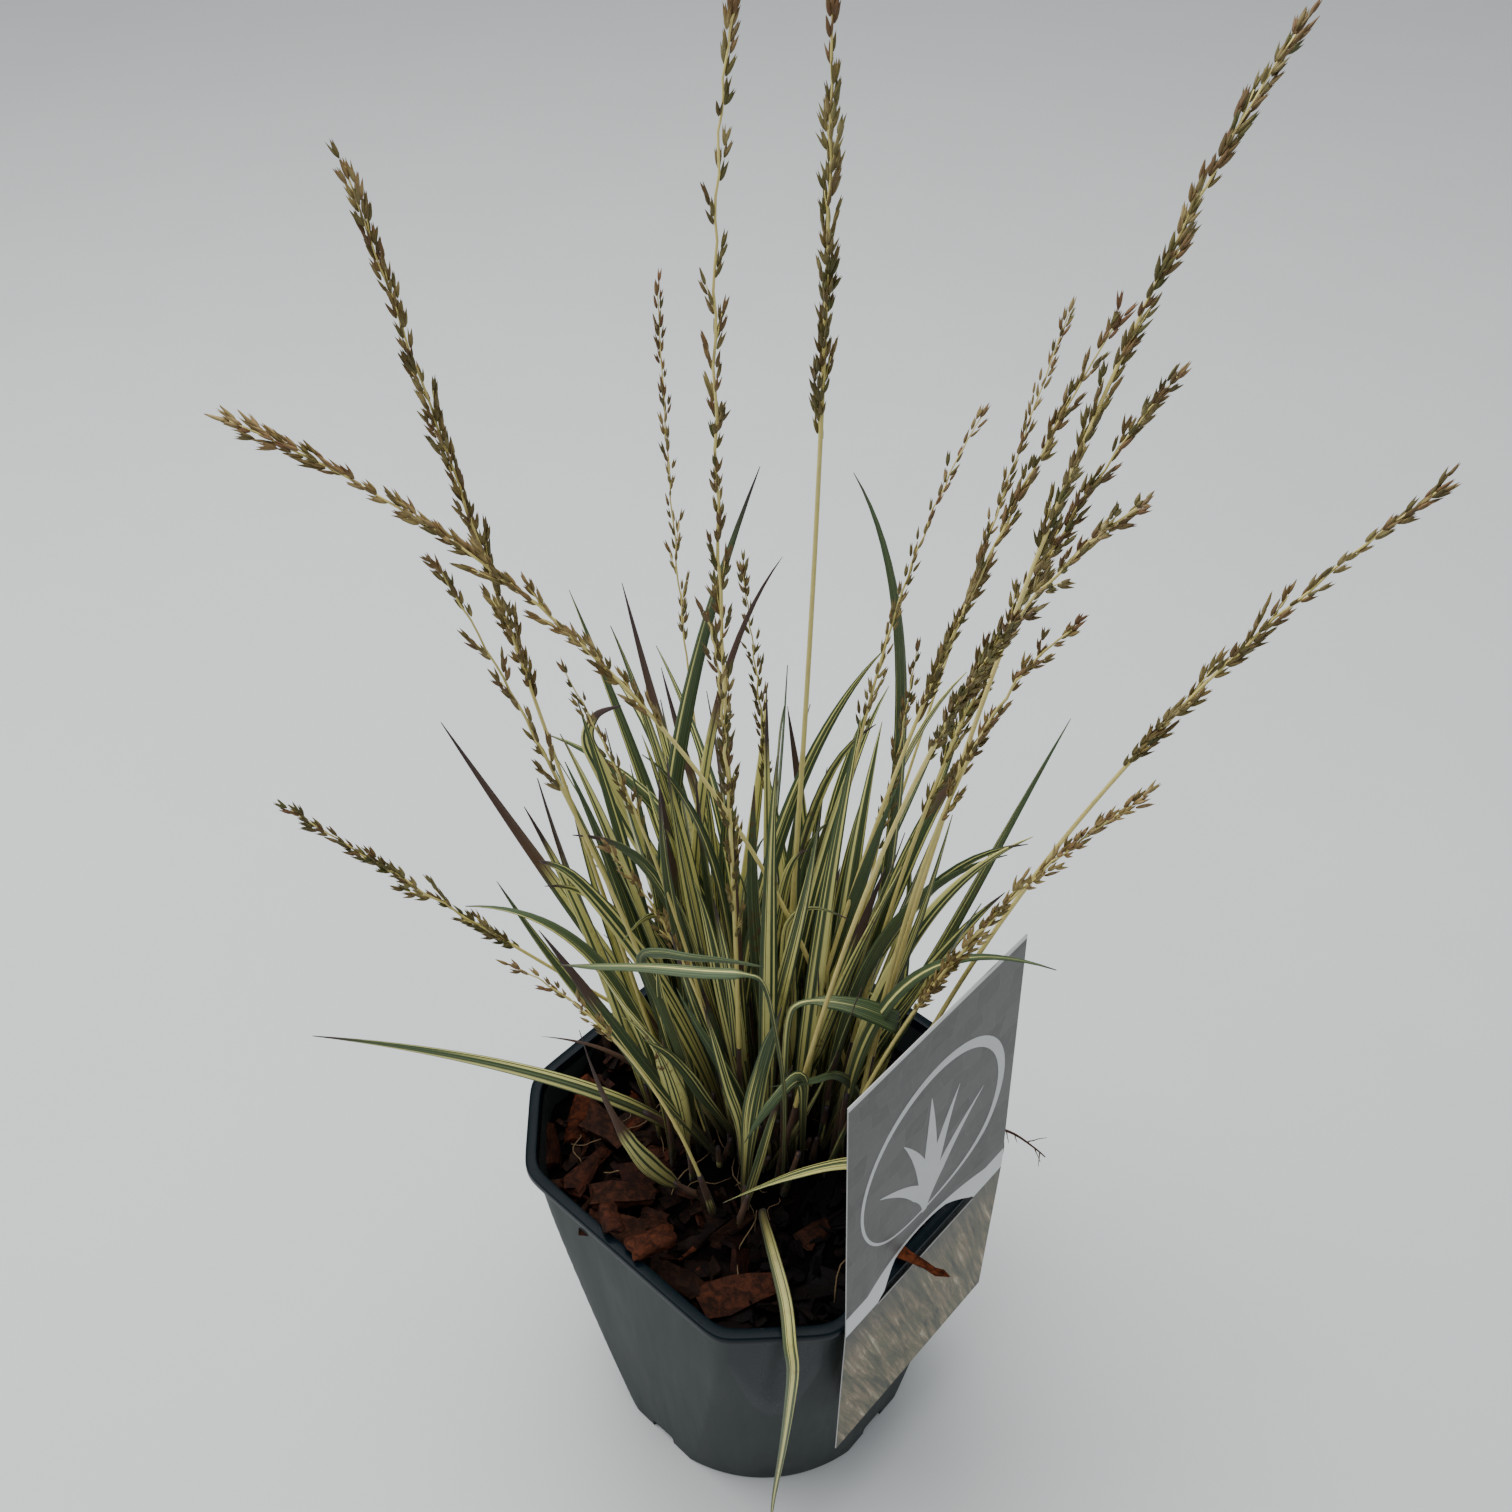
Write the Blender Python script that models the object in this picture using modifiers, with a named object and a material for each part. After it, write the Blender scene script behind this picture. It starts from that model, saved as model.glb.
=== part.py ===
# Potted purple moor grass, a variegated clump in a square moulded pot with cut corners.
# Millimetres in the dimensions below, metres in the scene, +Z up.
# The origin is the centre of the pot's underside. The cut corners face -X, +X, -Y and +Y,
# and the corner at -Y is the front. The label hangs on the long side towards +X and -Y.

import math
import random

import bmesh
import bpy
from mathutils import Matrix, Vector

MM = 0.001
GAP = 0.3

# Pot
POT_HEIGHT = 184.0
RIM_HALF = 85.0
RIM_CUT = 97.5
RIM_LEDGE = 5.0
RIM_DEPTH = 4.0
BODY_HALF_TOP = 82.0
BODY_HALF_BASE = 69.0
BODY_CUT_TOP = 94.5
BODY_CUT_BASE = 74.6
CONE_RADIUS_TOP = 97.0
CONE_RADIUS_BASE = 71.0
POT_WALL = 1.7
POT_FLOOR = 3.0
CORNER_ROUND = 3.6
DRAIN_CIRCLE = 42.0
DRAIN_RADIUS = 5.0
NOTCH_WIDTH = 13.0
NOTCH_HEIGHT = 7.0
NOTCH_INNER = 61.0
TAB_WIDTH = 10.0
TAB_HEIGHT = 9.0
TAB_SPACING = 52.0
TAB_THICKNESS = 0.8
TAB_DROP = 5.0
CUT_MARGIN = 2.0
ROUND_SIDES = 48
DRAIN_SIDES = 12

# Growing medium and crown
SOIL_LEVEL = 163.0
LEVEL_RADIUS = 60.0
HEAP_CENTRE = (-58.0, 44.0)
HEAP_RISE = 27.0
HEAP_SPREAD = 17.0
HEAP_ROOM = 12.0
BUMP_START = 18.0
WAVE_RISE = 2.2
WAVE_LENGTH_X = 9.0
WAVE_LENGTH_Y = 11.0
WAVE_START = 1.3
RIPPLE_RISE = 1.6
RIPPLE_LENGTH = 6.5
MEDIUM_GAP = 0.4
SURFACE_HALF = 100.0
SURFACE_CELLS = 14
CROWN_RADIUS_LOW = 44.0
CROWN_RADIUS_HIGH = 38.0
CROWN_RISE = 5.0
CROWN_SIDES = 20
CROWN_MARGIN = 3.0
FOOT_CLEARANCE = 1.2
LOOSE_CLEARANCE = 2.7

# Label
LABEL_WIDTH = 98.0
LABEL_LOW = 94.0
LABEL_HIGH = 313.0
LABEL_THICKNESS = 0.5
LABEL_STANDOFF = 86.2
LABEL_LEAN_HIGH = 0.064
LABEL_LEAN_LOW = 0.012
LABEL_SHIFT_LOW = -4.2
LABEL_SHIFT_HIGH = 1.0
SLIT_LOW = 179.6
SLIT_WIDTH = 61.0
SLIT_RISE = 11.0
SLIT_SIDES = 16
LIP_TUCK = 4.5
LIP_REACH = 30.0
LIP_MARGIN = 6.0
LIP_START = 1.0
LIP_RAMP = 4.0
LABEL_COLUMNS = 6
LABEL_ROWS = (LABEL_LOW, 140.0, 172.0, 184.9, 191.0, 200.0, 214.0, 235.0, 265.0, LABEL_HIGH)

# Shoots
BLADE_THICKNESS = 0.6
BLADE_ROWS = 5
BLADE_FOOT_SHARE = 0.45
BLADE_FULL_AT = 0.3
BLADE_TAPER_FROM = 0.45
BLADE_TAPER_POWER = 1.6
BLADE_TIP_SHARE = 0.07
BLADE_FOLD = 0.16
STEM_RADIUS = 1.1
STEM_TIP_SHARE = 0.45
STEM_POINTS = 7
CLUSTER_SPACING = 29.0
CLUSTER_LENGTH = 20.0
CLUSTER_WIDTH = 5.0
CLUSTER_SIDES = 3
CLUSTER_LEAN = 0.22
CLUSTER_OFFSET = 1.0
CLUSTER_TURN_SPREAD = 0.3
CLUSTER_SMALL = 0.7
CLUSTER_SWELL = 0.5
CLUSTER_FIRST = 0.35
STEM_STATIONS = 61
GOLDEN_TURN = math.radians(137.5)

# Flowering stems: foot x, foot y, heading in degrees, reach, height, bow %, sway,
# and the share of the stem, counted from the tip, that carries spikelets.
CULMS = (
    (-32, 3, 165, 77, 404, 2, 0, 0.42),
    (41, 8, 186, 182, 352, 52, 8, 0.39),
    (-20, -10, 180, 74, 306, 20, 0, 0.30),
    (-12, 0, 190, 51, 267, 30, 0, 0.28),
    (4, 32, 110, 102, 323, -34, 10, 0.40),
    (-4, 8, 105, 11, 443, 80, 19, 0.64),
    (-10, -12, 200, 9, 289, 84, 0, 0.50),
    (6, 14, 60, 22, 440, 48, -12, 0.27),
    (17, 14, 40, 73, 310, 62, 2, 0.38),
    (36, -4, 15, 99, 435, 64, -35, 0.34),
    (6, -5, 20, 101, 355, 32, 0, 0.39),
    (29, 2, 0, 84, 354, 44, 6, 0.50),
    (21, 23, 40, 109, 330, 10, 0, 0.30),
    (4, -20, -45, 102, 372, 50, 25, 0.34),
    (34, -16, -28, 55, 301, 62, 15, 0.33),
    (35, -24, -5, 140, 339, 37, 0, 0.33),
    (24, -19, -20, 89, 242, 34, 0, 0.52),
    (13, 4, 40, 53, 235, -4, -10, 0.36),
    (-10, 35, 190, 152, 194, -4, -3, 0.46),
    (-22, -34, 190, 63, 173, 40, -4, 0.32),
    (-7, -18, 190, 46, 206, 38, -9, 0.36),
    (12, 37, 128, 28, 254, 30, 0, 0.42),
)

# Leaf blades: foot x, foot y, heading in degrees, reach, height, bow %, sway, full width.
BLADES = (
    (-27, 26, 178, 82, 213, 6, 2, 6),
    (-4, 26, 140, 82, 232, 2, -4, 6),
    (-14, 12, 150, 41, 249, 40, -6, 5),
    (-4, 14, 112, 86, 193, 38, -14, 6),
    (-24, 2, 165, 46, 221, 26, -3, 6),
    (-18, 40, 165, 40, 200, 0, -4, 6),
    (-38, 7, 40, 48, 305, 0, 42, 7),
    (-26, 14, 50, 55, 259, 56, 22, 6),
    (1, 4, 88, 36, 214, 5, -4, 6),
    (1, -12, 70, 10, 222, 6, 4, 7),
    (-12, 6, 30, 63, 232, 62, 11, 6),
    (34, 18, 95, 40, 290, 60, -34, 5),
    (11, -10, 35, 23, 231, 2, 2, 7),
    (28, -10, 4, 64, 183, 66, 6, 6),
    (24, -2, 5, 61, 166, 84, 0, 6),
    (36, 13, 20, 20, 160, -41, -20, 6),
    (31, -13, -25, 72, 158, 107, -3, 6),
    (8, -16, -6, 32, 112, 150, 2, 8),
    (-38, -11, 181, 66, 166, 98, 2, 6),
    (-33, 15, 178, 64, 146, -5, 0, 5),
    (-43, 2, 168, 39, 190, 20, -2, 6),
    (6, -27, 192, 74, 166, 170, 46, 6),
    (-26, -3, 180, 146, 86, 48, 0, 7),
    (-41, 21, 180, 48, 50, 60, 0, 3),
    (-24, -27, 200, 44, 133, -58, -14, 6),
    (-30, -18, 190, 23, 115, 62, -2, 8),
    (-10, -34, 20, 14, 128, 6, 8, 8),
    (-13, -41, 37, 28, 84, 4, 0, 4),
    (44, -37, 197, 64, 44, 150, -4, 6),
)

# The bent leaf over the front of the rim, as points it passes through.
BENT_BLADE = ((-2, -36, 171), (-3, -46, 182), (-1, -66, 194), (3, -88, 193), (4, -102, 187),
              (5, -106, 176), (4, -107, 150), (2, -106, 110), (-1, -104, 60), (-2, -103, 28))
BENT_BLADE_WIDTH = 6.5

# Bark chips: x, y, z of the middle, length, width, thickness and heading.
CHIPS = (
    (-46, -58, 186.8, 17, 9, 4, 20),
    (-62, -47, 187.0, 13, 8, 4, 100),
    (54.5, -71.5, 187.0, 24, 5, 3.2, -30),
)

# The rootlet over the cut corner at the right, as points.
ROOTLET = ((84, -10, 186.5), (93, -13, 187), (101, -17, 187), (108, -23, 186), (112, -27, 185))
ROOTLET_RADIUS = 0.7


def make_collection(name):
    collection = bpy.data.collections.new(name)
    bpy.context.scene.collection.children.link(collection)
    return collection


def make_material(name, colour, roughness):
    material = bpy.data.materials.new(name)
    material.use_nodes = True
    shader = material.node_tree.nodes["Principled BSDF"]
    shader.inputs["Base Color"].default_value = (*colour, 1.0)
    shader.inputs["Roughness"].default_value = roughness
    return material


def mesh_object(name, bm, collection, material=None):
    mesh = bpy.data.meshes.new(name)
    bm.to_mesh(mesh)
    bm.free()
    obj = bpy.data.objects.new(name, mesh)
    collection.objects.link(obj)
    if material:
        mesh.materials.append(material)
    return obj


def as_cutter(obj):
    obj.hide_render = True
    obj.display_type = "WIRE"
    return obj


def add_boolean(obj, operand, operation):
    modifier = obj.modifiers.new(operand.name, "BOOLEAN")
    modifier.object = operand
    modifier.operation = operation
    modifier.solver = "EXACT"


def curve_to_mesh(curve_object, name, collection, material):
    """Turn a bevelled curve into a closed mesh object and remove the curve."""
    bpy.context.view_layer.update()
    evaluated = curve_object.evaluated_get(bpy.context.evaluated_depsgraph_get())
    mesh = bpy.data.meshes.new_from_object(evaluated)
    bm = bmesh.new()
    bm.from_mesh(mesh)
    bmesh.ops.remove_doubles(bm, verts=bm.verts, dist=0.00002)
    obj = mesh_object(name, bm, collection, material)
    obj.matrix_world = curve_object.matrix_world
    bpy.data.objects.remove(curve_object)
    bpy.data.meshes.remove(mesh)
    return obj


def tube(name, points, radii, collection, material):
    """A round rod through the points, each with its own radius."""
    curve = bpy.data.curves.new(name + "_curve", "CURVE")
    curve.dimensions = "3D"
    curve.bevel_depth = MM
    curve.bevel_resolution = 0
    curve.use_fill_caps = True
    spline = curve.splines.new("POLY")
    spline.points.add(len(points) - 1)
    for spline_point, place, radius in zip(spline.points, points, radii):
        spline_point.co = (*(Vector(place) * MM), 1.0)
        spline_point.radius = radius
    curve_object = bpy.data.objects.new(name + "_curve", curve)
    collection.objects.link(curve_object)
    return curve_to_mesh(curve_object, name, collection, material)


def octagon_corner(index, half, cut):
    """Corner between side index and the next one; even sides are the cut corners."""
    first = index * math.pi / 4
    second = first + math.pi / 4
    first_distance = cut if index % 2 == 0 else half
    second_distance = half if index % 2 == 0 else cut
    turn = math.sin(second - first)
    x = (first_distance * math.sin(second) - second_distance * math.sin(first)) / turn
    y = (second_distance * math.cos(first) - first_distance * math.cos(second)) / turn
    return x, y


def octagon_block(name, low, high, collection, material=None):
    """A solid between two octagons; low and high are (z, half width, cut distance)."""
    bm = bmesh.new()
    bmesh.ops.create_cone(bm, cap_ends=True, segments=8, radius1=1, radius2=1, depth=2,
                          matrix=Matrix.Rotation(math.pi / 8, 4, "Z"))
    for vert in bm.verts:
        angle = math.atan2(vert.co.y, vert.co.x) % (2 * math.pi)
        z, half, cut = high if vert.co.z > 0 else low
        x, y = octagon_corner(int(angle // (math.pi / 4)), half, cut)
        vert.co = Vector((x, y, z)) * MM
    sides = [edge for edge in bm.edges
             if abs(edge.verts[0].co.z - edge.verts[1].co.z) > 0.5 * (high[0] - low[0]) * MM]
    bmesh.ops.bevel(bm, geom=sides, offset=CORNER_ROUND * MM, segments=2, profile=0.5,
                    affect="EDGES")
    return mesh_object(name, bm, collection, material)


def cone_block(name, low, high, collection, segments=ROUND_SIDES):
    """A round solid; low and high are (z, radius)."""
    bm = bmesh.new()
    depth = (high[0] - low[0]) * MM
    middle = Matrix.Translation((0, 0, (high[0] + low[0]) / 2 * MM))
    bmesh.ops.create_cone(bm, cap_ends=True, segments=segments, radius1=low[1] * MM,
                          radius2=high[1] * MM, depth=depth, matrix=middle)
    return as_cutter(mesh_object(name, bm, collection))


def box(name, size, matrix, collection, material=None):
    bm = bmesh.new()
    bmesh.ops.create_cube(bm, size=MM)
    bmesh.ops.scale(bm, vec=size, verts=bm.verts)
    bmesh.ops.transform(bm, matrix=matrix, verts=bm.verts)
    return mesh_object(name, bm, collection, material)


def taper(top, base, z):
    """A body dimension at height z, continued straight above and below the pot."""
    return base + (top - base) * z / POT_HEIGHT


def inset_body(name, inset, z_low, z_high, collection, material=None):
    """The pot's body shape shrunk by inset: a chamfered square cut down by a cone."""
    low = (z_low, taper(BODY_HALF_TOP, BODY_HALF_BASE, z_low) - inset,
           taper(BODY_CUT_TOP, BODY_CUT_BASE, z_low) - inset)
    high = (z_high, taper(BODY_HALF_TOP, BODY_HALF_BASE, z_high) - inset,
            taper(BODY_CUT_TOP, BODY_CUT_BASE, z_high) - inset)
    body = octagon_block(name, low, high, collection, material)
    below = z_low - CUT_MARGIN
    above = z_high + CUT_MARGIN
    cone_low = (below, taper(CONE_RADIUS_TOP, CONE_RADIUS_BASE, below) - inset)
    cone_high = (above, taper(CONE_RADIUS_TOP, CONE_RADIUS_BASE, above) - inset)
    cone = cone_block(name + "_cone", cone_low, cone_high, cutters)
    add_boolean(body, cone, "INTERSECT")
    return body


def side_matrix(angle_degrees, outward, along, z):
    """Place something against a pot side that faces the given angle."""
    turn = Matrix.Rotation(math.radians(angle_degrees), 4, "Z")
    return turn @ Matrix.Translation(Vector((outward, along, z)) * MM)


def make_pot(material):
    pot = inset_body("pot", 0.0, 0.0, POT_HEIGHT - RIM_DEPTH / 2, parts, material)
    flange_low = (POT_HEIGHT - RIM_DEPTH, RIM_HALF, RIM_CUT)
    flange_high = (POT_HEIGHT, RIM_HALF, RIM_CUT)
    flange = as_cutter(octagon_block("pot_flange", flange_low, flange_high, cutters))
    add_boolean(pot, flange, "UNION")
    for turn in (45, 135, 225, 315):
        notch_length = BODY_HALF_TOP - NOTCH_INNER
        middle = NOTCH_INNER + notch_length / 2
        notch = box("pot_notch_%d" % turn, (notch_length, NOTCH_WIDTH, 2 * NOTCH_HEIGHT),
                    side_matrix(turn, middle, 0, 0), cutters)
        add_boolean(pot, as_cutter(notch), "DIFFERENCE")
    cavity = inset_body("pot_cavity", POT_WALL, POT_FLOOR, POT_HEIGHT + CUT_MARGIN, cutters)
    add_boolean(pot, as_cutter(cavity), "DIFFERENCE")
    for turn in (0, 90, 180, 270):
        drain = cone_block("pot_drain_%d" % turn, (-CUT_MARGIN, DRAIN_RADIUS),
                           (POT_FLOOR + CUT_MARGIN, DRAIN_RADIUS), cutters, DRAIN_SIDES)
        drain.location = Matrix.Rotation(math.radians(turn), 3, "Z") @ Vector((DRAIN_CIRCLE * MM, 0, 0))
        add_boolean(pot, drain, "DIFFERENCE")
    inner = RIM_HALF - RIM_LEDGE
    for turn in (45, 225):
        for side in (-1, 1):
            tab = box("pot_tab_%d_%d" % (turn, side), (2 * TAB_THICKNESS, TAB_WIDTH, TAB_HEIGHT),
                      side_matrix(turn, inner, side * TAB_SPACING / 2,
                                  POT_HEIGHT - TAB_DROP - TAB_HEIGHT / 2), cutters)
            add_boolean(pot, as_cutter(tab), "UNION")
    return pot


def ground(x, y):
    """Height of the growing medium: level in the middle, uneven towards the wall."""
    radius = math.hypot(x, y)
    edge = min(1.0, max(0.0, (radius - LEVEL_RADIUS) / BUMP_START))
    waves = WAVE_RISE * math.sin(x / WAVE_LENGTH_X + WAVE_START) * math.cos(y / WAVE_LENGTH_Y)
    ripples = RIPPLE_RISE * math.sin((x + y) / RIPPLE_LENGTH)
    heap_distance = math.hypot(x - HEAP_CENTRE[0], y - HEAP_CENTRE[1])
    heap = HEAP_RISE * math.exp(-(heap_distance / HEAP_SPREAD) ** 2)
    return SOIL_LEVEL + edge * (waves + ripples + heap)


def make_medium(material):
    medium = inset_body("growing_medium", POT_WALL + MEDIUM_GAP, POT_FLOOR + GAP,
                        POT_HEIGHT + HEAP_ROOM, parts, material)
    bm = bmesh.new()
    bmesh.ops.create_grid(bm, x_segments=SURFACE_CELLS, y_segments=SURFACE_CELLS,
                          size=SURFACE_HALF * MM)
    top = list(bm.verts)
    for vert in top:
        vert.co.z = ground(vert.co.x / MM, vert.co.y / MM) * MM
    skirt = bmesh.ops.extrude_face_region(bm, geom=list(bm.faces))
    for item in skirt["geom"]:
        if isinstance(item, bmesh.types.BMVert):
            item.co.z = -CUT_MARGIN * MM
    bmesh.ops.recalc_face_normals(bm, faces=bm.faces)
    terrain = as_cutter(mesh_object("medium_surface", bm, cutters))
    add_boolean(medium, terrain, "INTERSECT")
    return medium


def make_crown(material):
    bm = bmesh.new()
    low = SOIL_LEVEL + GAP
    middle = Matrix.Translation((0, 0, (low + CROWN_RISE / 2) * MM))
    bmesh.ops.create_cone(bm, cap_ends=True, segments=CROWN_SIDES,
                          radius1=CROWN_RADIUS_LOW * MM, radius2=CROWN_RADIUS_HIGH * MM,
                          depth=CROWN_RISE * MM, matrix=middle)
    return mesh_object("crown", bm, parts, material)


def label_place(along, z):
    """Distance from the pot's axis of the label's middle surface at a point on it."""
    above = z - POT_HEIGHT
    distance = LABEL_STANDOFF - (LABEL_LEAN_HIGH if above > 0 else LABEL_LEAN_LOW) * above
    lip_width = SLIT_WIDTH / 2 + LIP_MARGIN
    middle = label_shift(SLIT_LOW)
    across = max(0.0, 1 - ((along - middle) / lip_width) ** 2)
    start = min(1.0, max(0.0, (above - LIP_START) / LIP_RAMP))
    fade = math.exp(-max(0.0, above - LIP_RAMP) / LIP_REACH)
    return distance - LIP_TUCK * across * start * fade


def label_shift(z):
    share = (z - LABEL_LOW) / (LABEL_HIGH - LABEL_LOW)
    return LABEL_SHIFT_LOW + (LABEL_SHIFT_HIGH - LABEL_SHIFT_LOW) * share


def make_label(material):
    """The card is made flat in the XZ plane, cut, then bent into place."""
    bm = bmesh.new()
    last_row = len(LABEL_ROWS) - 1
    bmesh.ops.create_grid(bm, x_segments=LABEL_COLUMNS, y_segments=last_row, size=1)
    for vert in bm.verts:
        z = LABEL_ROWS[round((vert.co.y + 1) / 2 * last_row)]
        vert.co = Vector((vert.co.x * LABEL_WIDTH / 2, 0, z)) * MM
    faces = bmesh.ops.extrude_face_region(bm, geom=list(bm.faces))["geom"]
    raised = [item for item in faces if isinstance(item, bmesh.types.BMVert)]
    bmesh.ops.translate(bm, vec=(0, LABEL_THICKNESS * MM, 0), verts=raised)
    bmesh.ops.recalc_face_normals(bm, faces=bm.faces)
    flat = mesh_object("label_flat", bm, cutters)
    bm = bmesh.new()
    bmesh.ops.create_circle(bm, cap_ends=True, segments=SLIT_SIDES, radius=SLIT_WIDTH / 2 * MM)
    lower = [vert for vert in bm.verts if vert.co.y < -0.1 * MM]
    bmesh.ops.delete(bm, geom=lower, context="VERTS")
    bmesh.ops.contextual_create(bm, geom=bm.verts)
    for vert in bm.verts:
        height_share = vert.co.y / (SLIT_WIDTH / 2 * MM)
        vert.co = (vert.co.x, -CUT_MARGIN * MM, (SLIT_LOW + SLIT_RISE * height_share) * MM)
    slit_faces = bmesh.ops.extrude_face_region(bm, geom=list(bm.faces))["geom"]
    raised = [item for item in slit_faces if isinstance(item, bmesh.types.BMVert)]
    bmesh.ops.translate(bm, vec=(0, 2 * CUT_MARGIN * MM, 0), verts=raised)
    bmesh.ops.recalc_face_normals(bm, faces=bm.faces)
    slit = as_cutter(mesh_object("label_slit", bm, cutters))
    add_boolean(flat, slit, "DIFFERENCE")
    bpy.context.view_layer.update()
    evaluated = flat.evaluated_get(bpy.context.evaluated_depsgraph_get())
    cut = bmesh.new()
    cut.from_mesh(evaluated.to_mesh())
    outward = Vector((math.cos(-math.pi / 4), math.sin(-math.pi / 4), 0))
    along_side = Vector((-outward.y, outward.x, 0))
    for vert in cut.verts:
        z = vert.co.z / MM
        along = label_shift(z) - vert.co.x / MM
        distance = label_place(along, z) + vert.co.y / MM - LABEL_THICKNESS / 2
        vert.co = (outward * distance + along_side * along + Vector((0, 0, z))) * MM
    bpy.data.objects.remove(flat)
    return mesh_object("label", cut, parts, material)


def foot_height(x, y):
    """Where a shoot starts: just clear of the crown, or of the medium outside it."""
    radius = math.hypot(x, y)
    if radius < CROWN_RADIUS_LOW + CROWN_MARGIN:
        return SOIL_LEVEL + GAP + CROWN_RISE + FOOT_CLEARANCE
    return ground(x, y) + LOOSE_CLEARANCE


def shoot_path(row, count):
    """Points of a shoot: a bow from its foot to its tip, pushed sideways by its sway."""
    foot_x, foot_y, heading, reach, height, bow, sway = row[:7]
    turn = math.radians(heading)
    outward = Vector((math.cos(turn), math.sin(turn), 0))
    sideways = Vector((-outward.y, outward.x, 0))
    base = Vector((foot_x, foot_y, SOIL_LEVEL))
    tip = base + outward * reach + Vector((0, 0, height))
    lean = bow / 100
    bend = (base + outward * reach * (1 - lean) / 2 + Vector((0, 0, height * (1 + lean) / 2))
            + sideways * sway)
    start = foot_height(foot_x, foot_y) - SOIL_LEVEL
    base.z += start
    points = []
    for index in range(count):
        share = index / (count - 1)
        points.append(base * (1 - share) ** 2 + bend * 2 * share * (1 - share) + tip * share ** 2)
    return points


def tangents(points):
    result = []
    for index, point in enumerate(points):
        before = points[max(0, index - 1)]
        after = points[min(len(points) - 1, index + 1)]
        result.append((after - before).normalized())
    return result


def blade_share(share):
    """Blade width along its length: narrow foot, full by a third, long pointed tip."""
    rise = min(1.0, share / BLADE_FULL_AT)
    fall = max(0.0, (share - BLADE_TAPER_FROM) / (1 - BLADE_TAPER_FROM))
    taper_off = 1 - (1 - BLADE_TIP_SHARE) * fall ** BLADE_TAPER_POWER
    return (BLADE_FOOT_SHARE + (1 - BLADE_FOOT_SHARE) * rise) * taper_off


def make_blade(name, points, width, side_heading, material):
    """A folded strip along the points, thickened on both sides."""
    bm = bmesh.new()
    rows = len(points) - 1
    bmesh.ops.create_grid(bm, x_segments=2, y_segments=rows, size=1)
    directions = tangents(points)
    side = Vector((-math.sin(side_heading), math.cos(side_heading), 0))
    for vert in bm.verts:
        row = round((vert.co.y + 1) / 2 * rows)
        across = vert.co.x
        half = width / 2 * blade_share(row / rows)
        normal = directions[row].cross(side).normalized()
        fold = BLADE_FOLD * half * (1 - abs(across))
        vert.co = (points[row] + side * across * half + normal * fold) * MM
    blade = mesh_object(name, bm, parts, material)
    solidify = blade.modifiers.new("thickness", "SOLIDIFY")
    solidify.thickness = BLADE_THICKNESS * MM
    solidify.offset = 0
    return blade


def make_blades(material):
    for number, row in enumerate(BLADES, 1):
        points = shoot_path(row, BLADE_ROWS + 1)
        make_blade("leaf_%02d" % number, points, row[7], math.radians(row[2]), material)
    points = [Vector(place) for place in BENT_BLADE]
    make_blade("leaf_%02d" % (len(BLADES) + 1), points, BENT_BLADE_WIDTH, math.radians(-90), material)


def add_cluster(bm, centre, direction, length, width):
    """One cluster of spikelets as a slim spindle."""
    turn = Vector((0, 0, 1)).rotation_difference(direction).to_matrix().to_4x4()
    scale = Matrix.Diagonal((width / 2 * MM, width / 2 * MM, length / 2 * MM, 1))
    matrix = Matrix.Translation(centre * MM) @ turn @ scale
    bmesh.ops.create_uvsphere(bm, u_segments=CLUSTER_SIDES, v_segments=2, radius=1, matrix=matrix)


def make_culm(name, row, stem_material, seed):
    rng = random.Random(seed)
    points = shoot_path(row, STEM_POINTS)
    radii = [STEM_RADIUS * (1 - (1 - STEM_TIP_SHARE) * index / (STEM_POINTS - 1))
             for index in range(STEM_POINTS)]
    culm = tube(name, points, radii, parts, stem_material)
    fine = shoot_path(row, STEM_STATIONS)
    directions = tangents(fine)
    lengths = [(after - before).length for before, after in zip(fine, fine[1:])]
    total = sum(lengths)
    count = max(3, round(total * row[7] / CLUSTER_SPACING))
    bm = bmesh.new()
    for index in range(count):
        distance = total * (1 - row[7] * (index + CLUSTER_FIRST) / count)
        station = 0
        travelled = 0.0
        while station < STEM_STATIONS - 2 and travelled + lengths[station] < distance:
            travelled += lengths[station]
            station += 1
        turn = index * GOLDEN_TURN + rng.uniform(-CLUSTER_TURN_SPREAD, CLUSTER_TURN_SPREAD)
        direction = directions[station]
        side = direction.orthogonal().normalized()
        side.rotate(Matrix.Rotation(turn, 3, direction))
        lean = (direction + side * CLUSTER_LEAN).normalized()
        middle_share = math.sin(math.pi * min(1.0, (index + 1.5) / count))
        swell = CLUSTER_SMALL + CLUSTER_SWELL * middle_share
        centre = fine[station] + side * CLUSTER_OFFSET
        add_cluster(bm, centre, lean, CLUSTER_LENGTH * min(1.0, swell), CLUSTER_WIDTH * swell)
    clusters = as_cutter(mesh_object(name + "_clusters", bm, cutters))
    add_boolean(culm, clusters, "UNION")
    return culm


def make_culms(material):
    for number, row in enumerate(CULMS, 1):
        make_culm("culm_%02d" % number, row, material, number)


def make_chips(material):
    for number, (x, y, z, length, width, thickness, heading) in enumerate(CHIPS, 1):
        turn = Matrix.Rotation(math.radians(heading), 4, "Z")
        place = Matrix.Translation(Vector((x, y, z)) * MM) @ turn
        box("bark_chip_%d" % number, (length, width, thickness), place, parts, material)


def make_rootlet(material):
    radii = [ROOTLET_RADIUS] * len(ROOTLET)
    tube("rootlet", ROOTLET, radii, parts, material)


for old in list(bpy.data.objects):
    bpy.data.objects.remove(old)
parts = make_collection("potted_purple_moor_grass")
cutters = make_collection("cutters")

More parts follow.
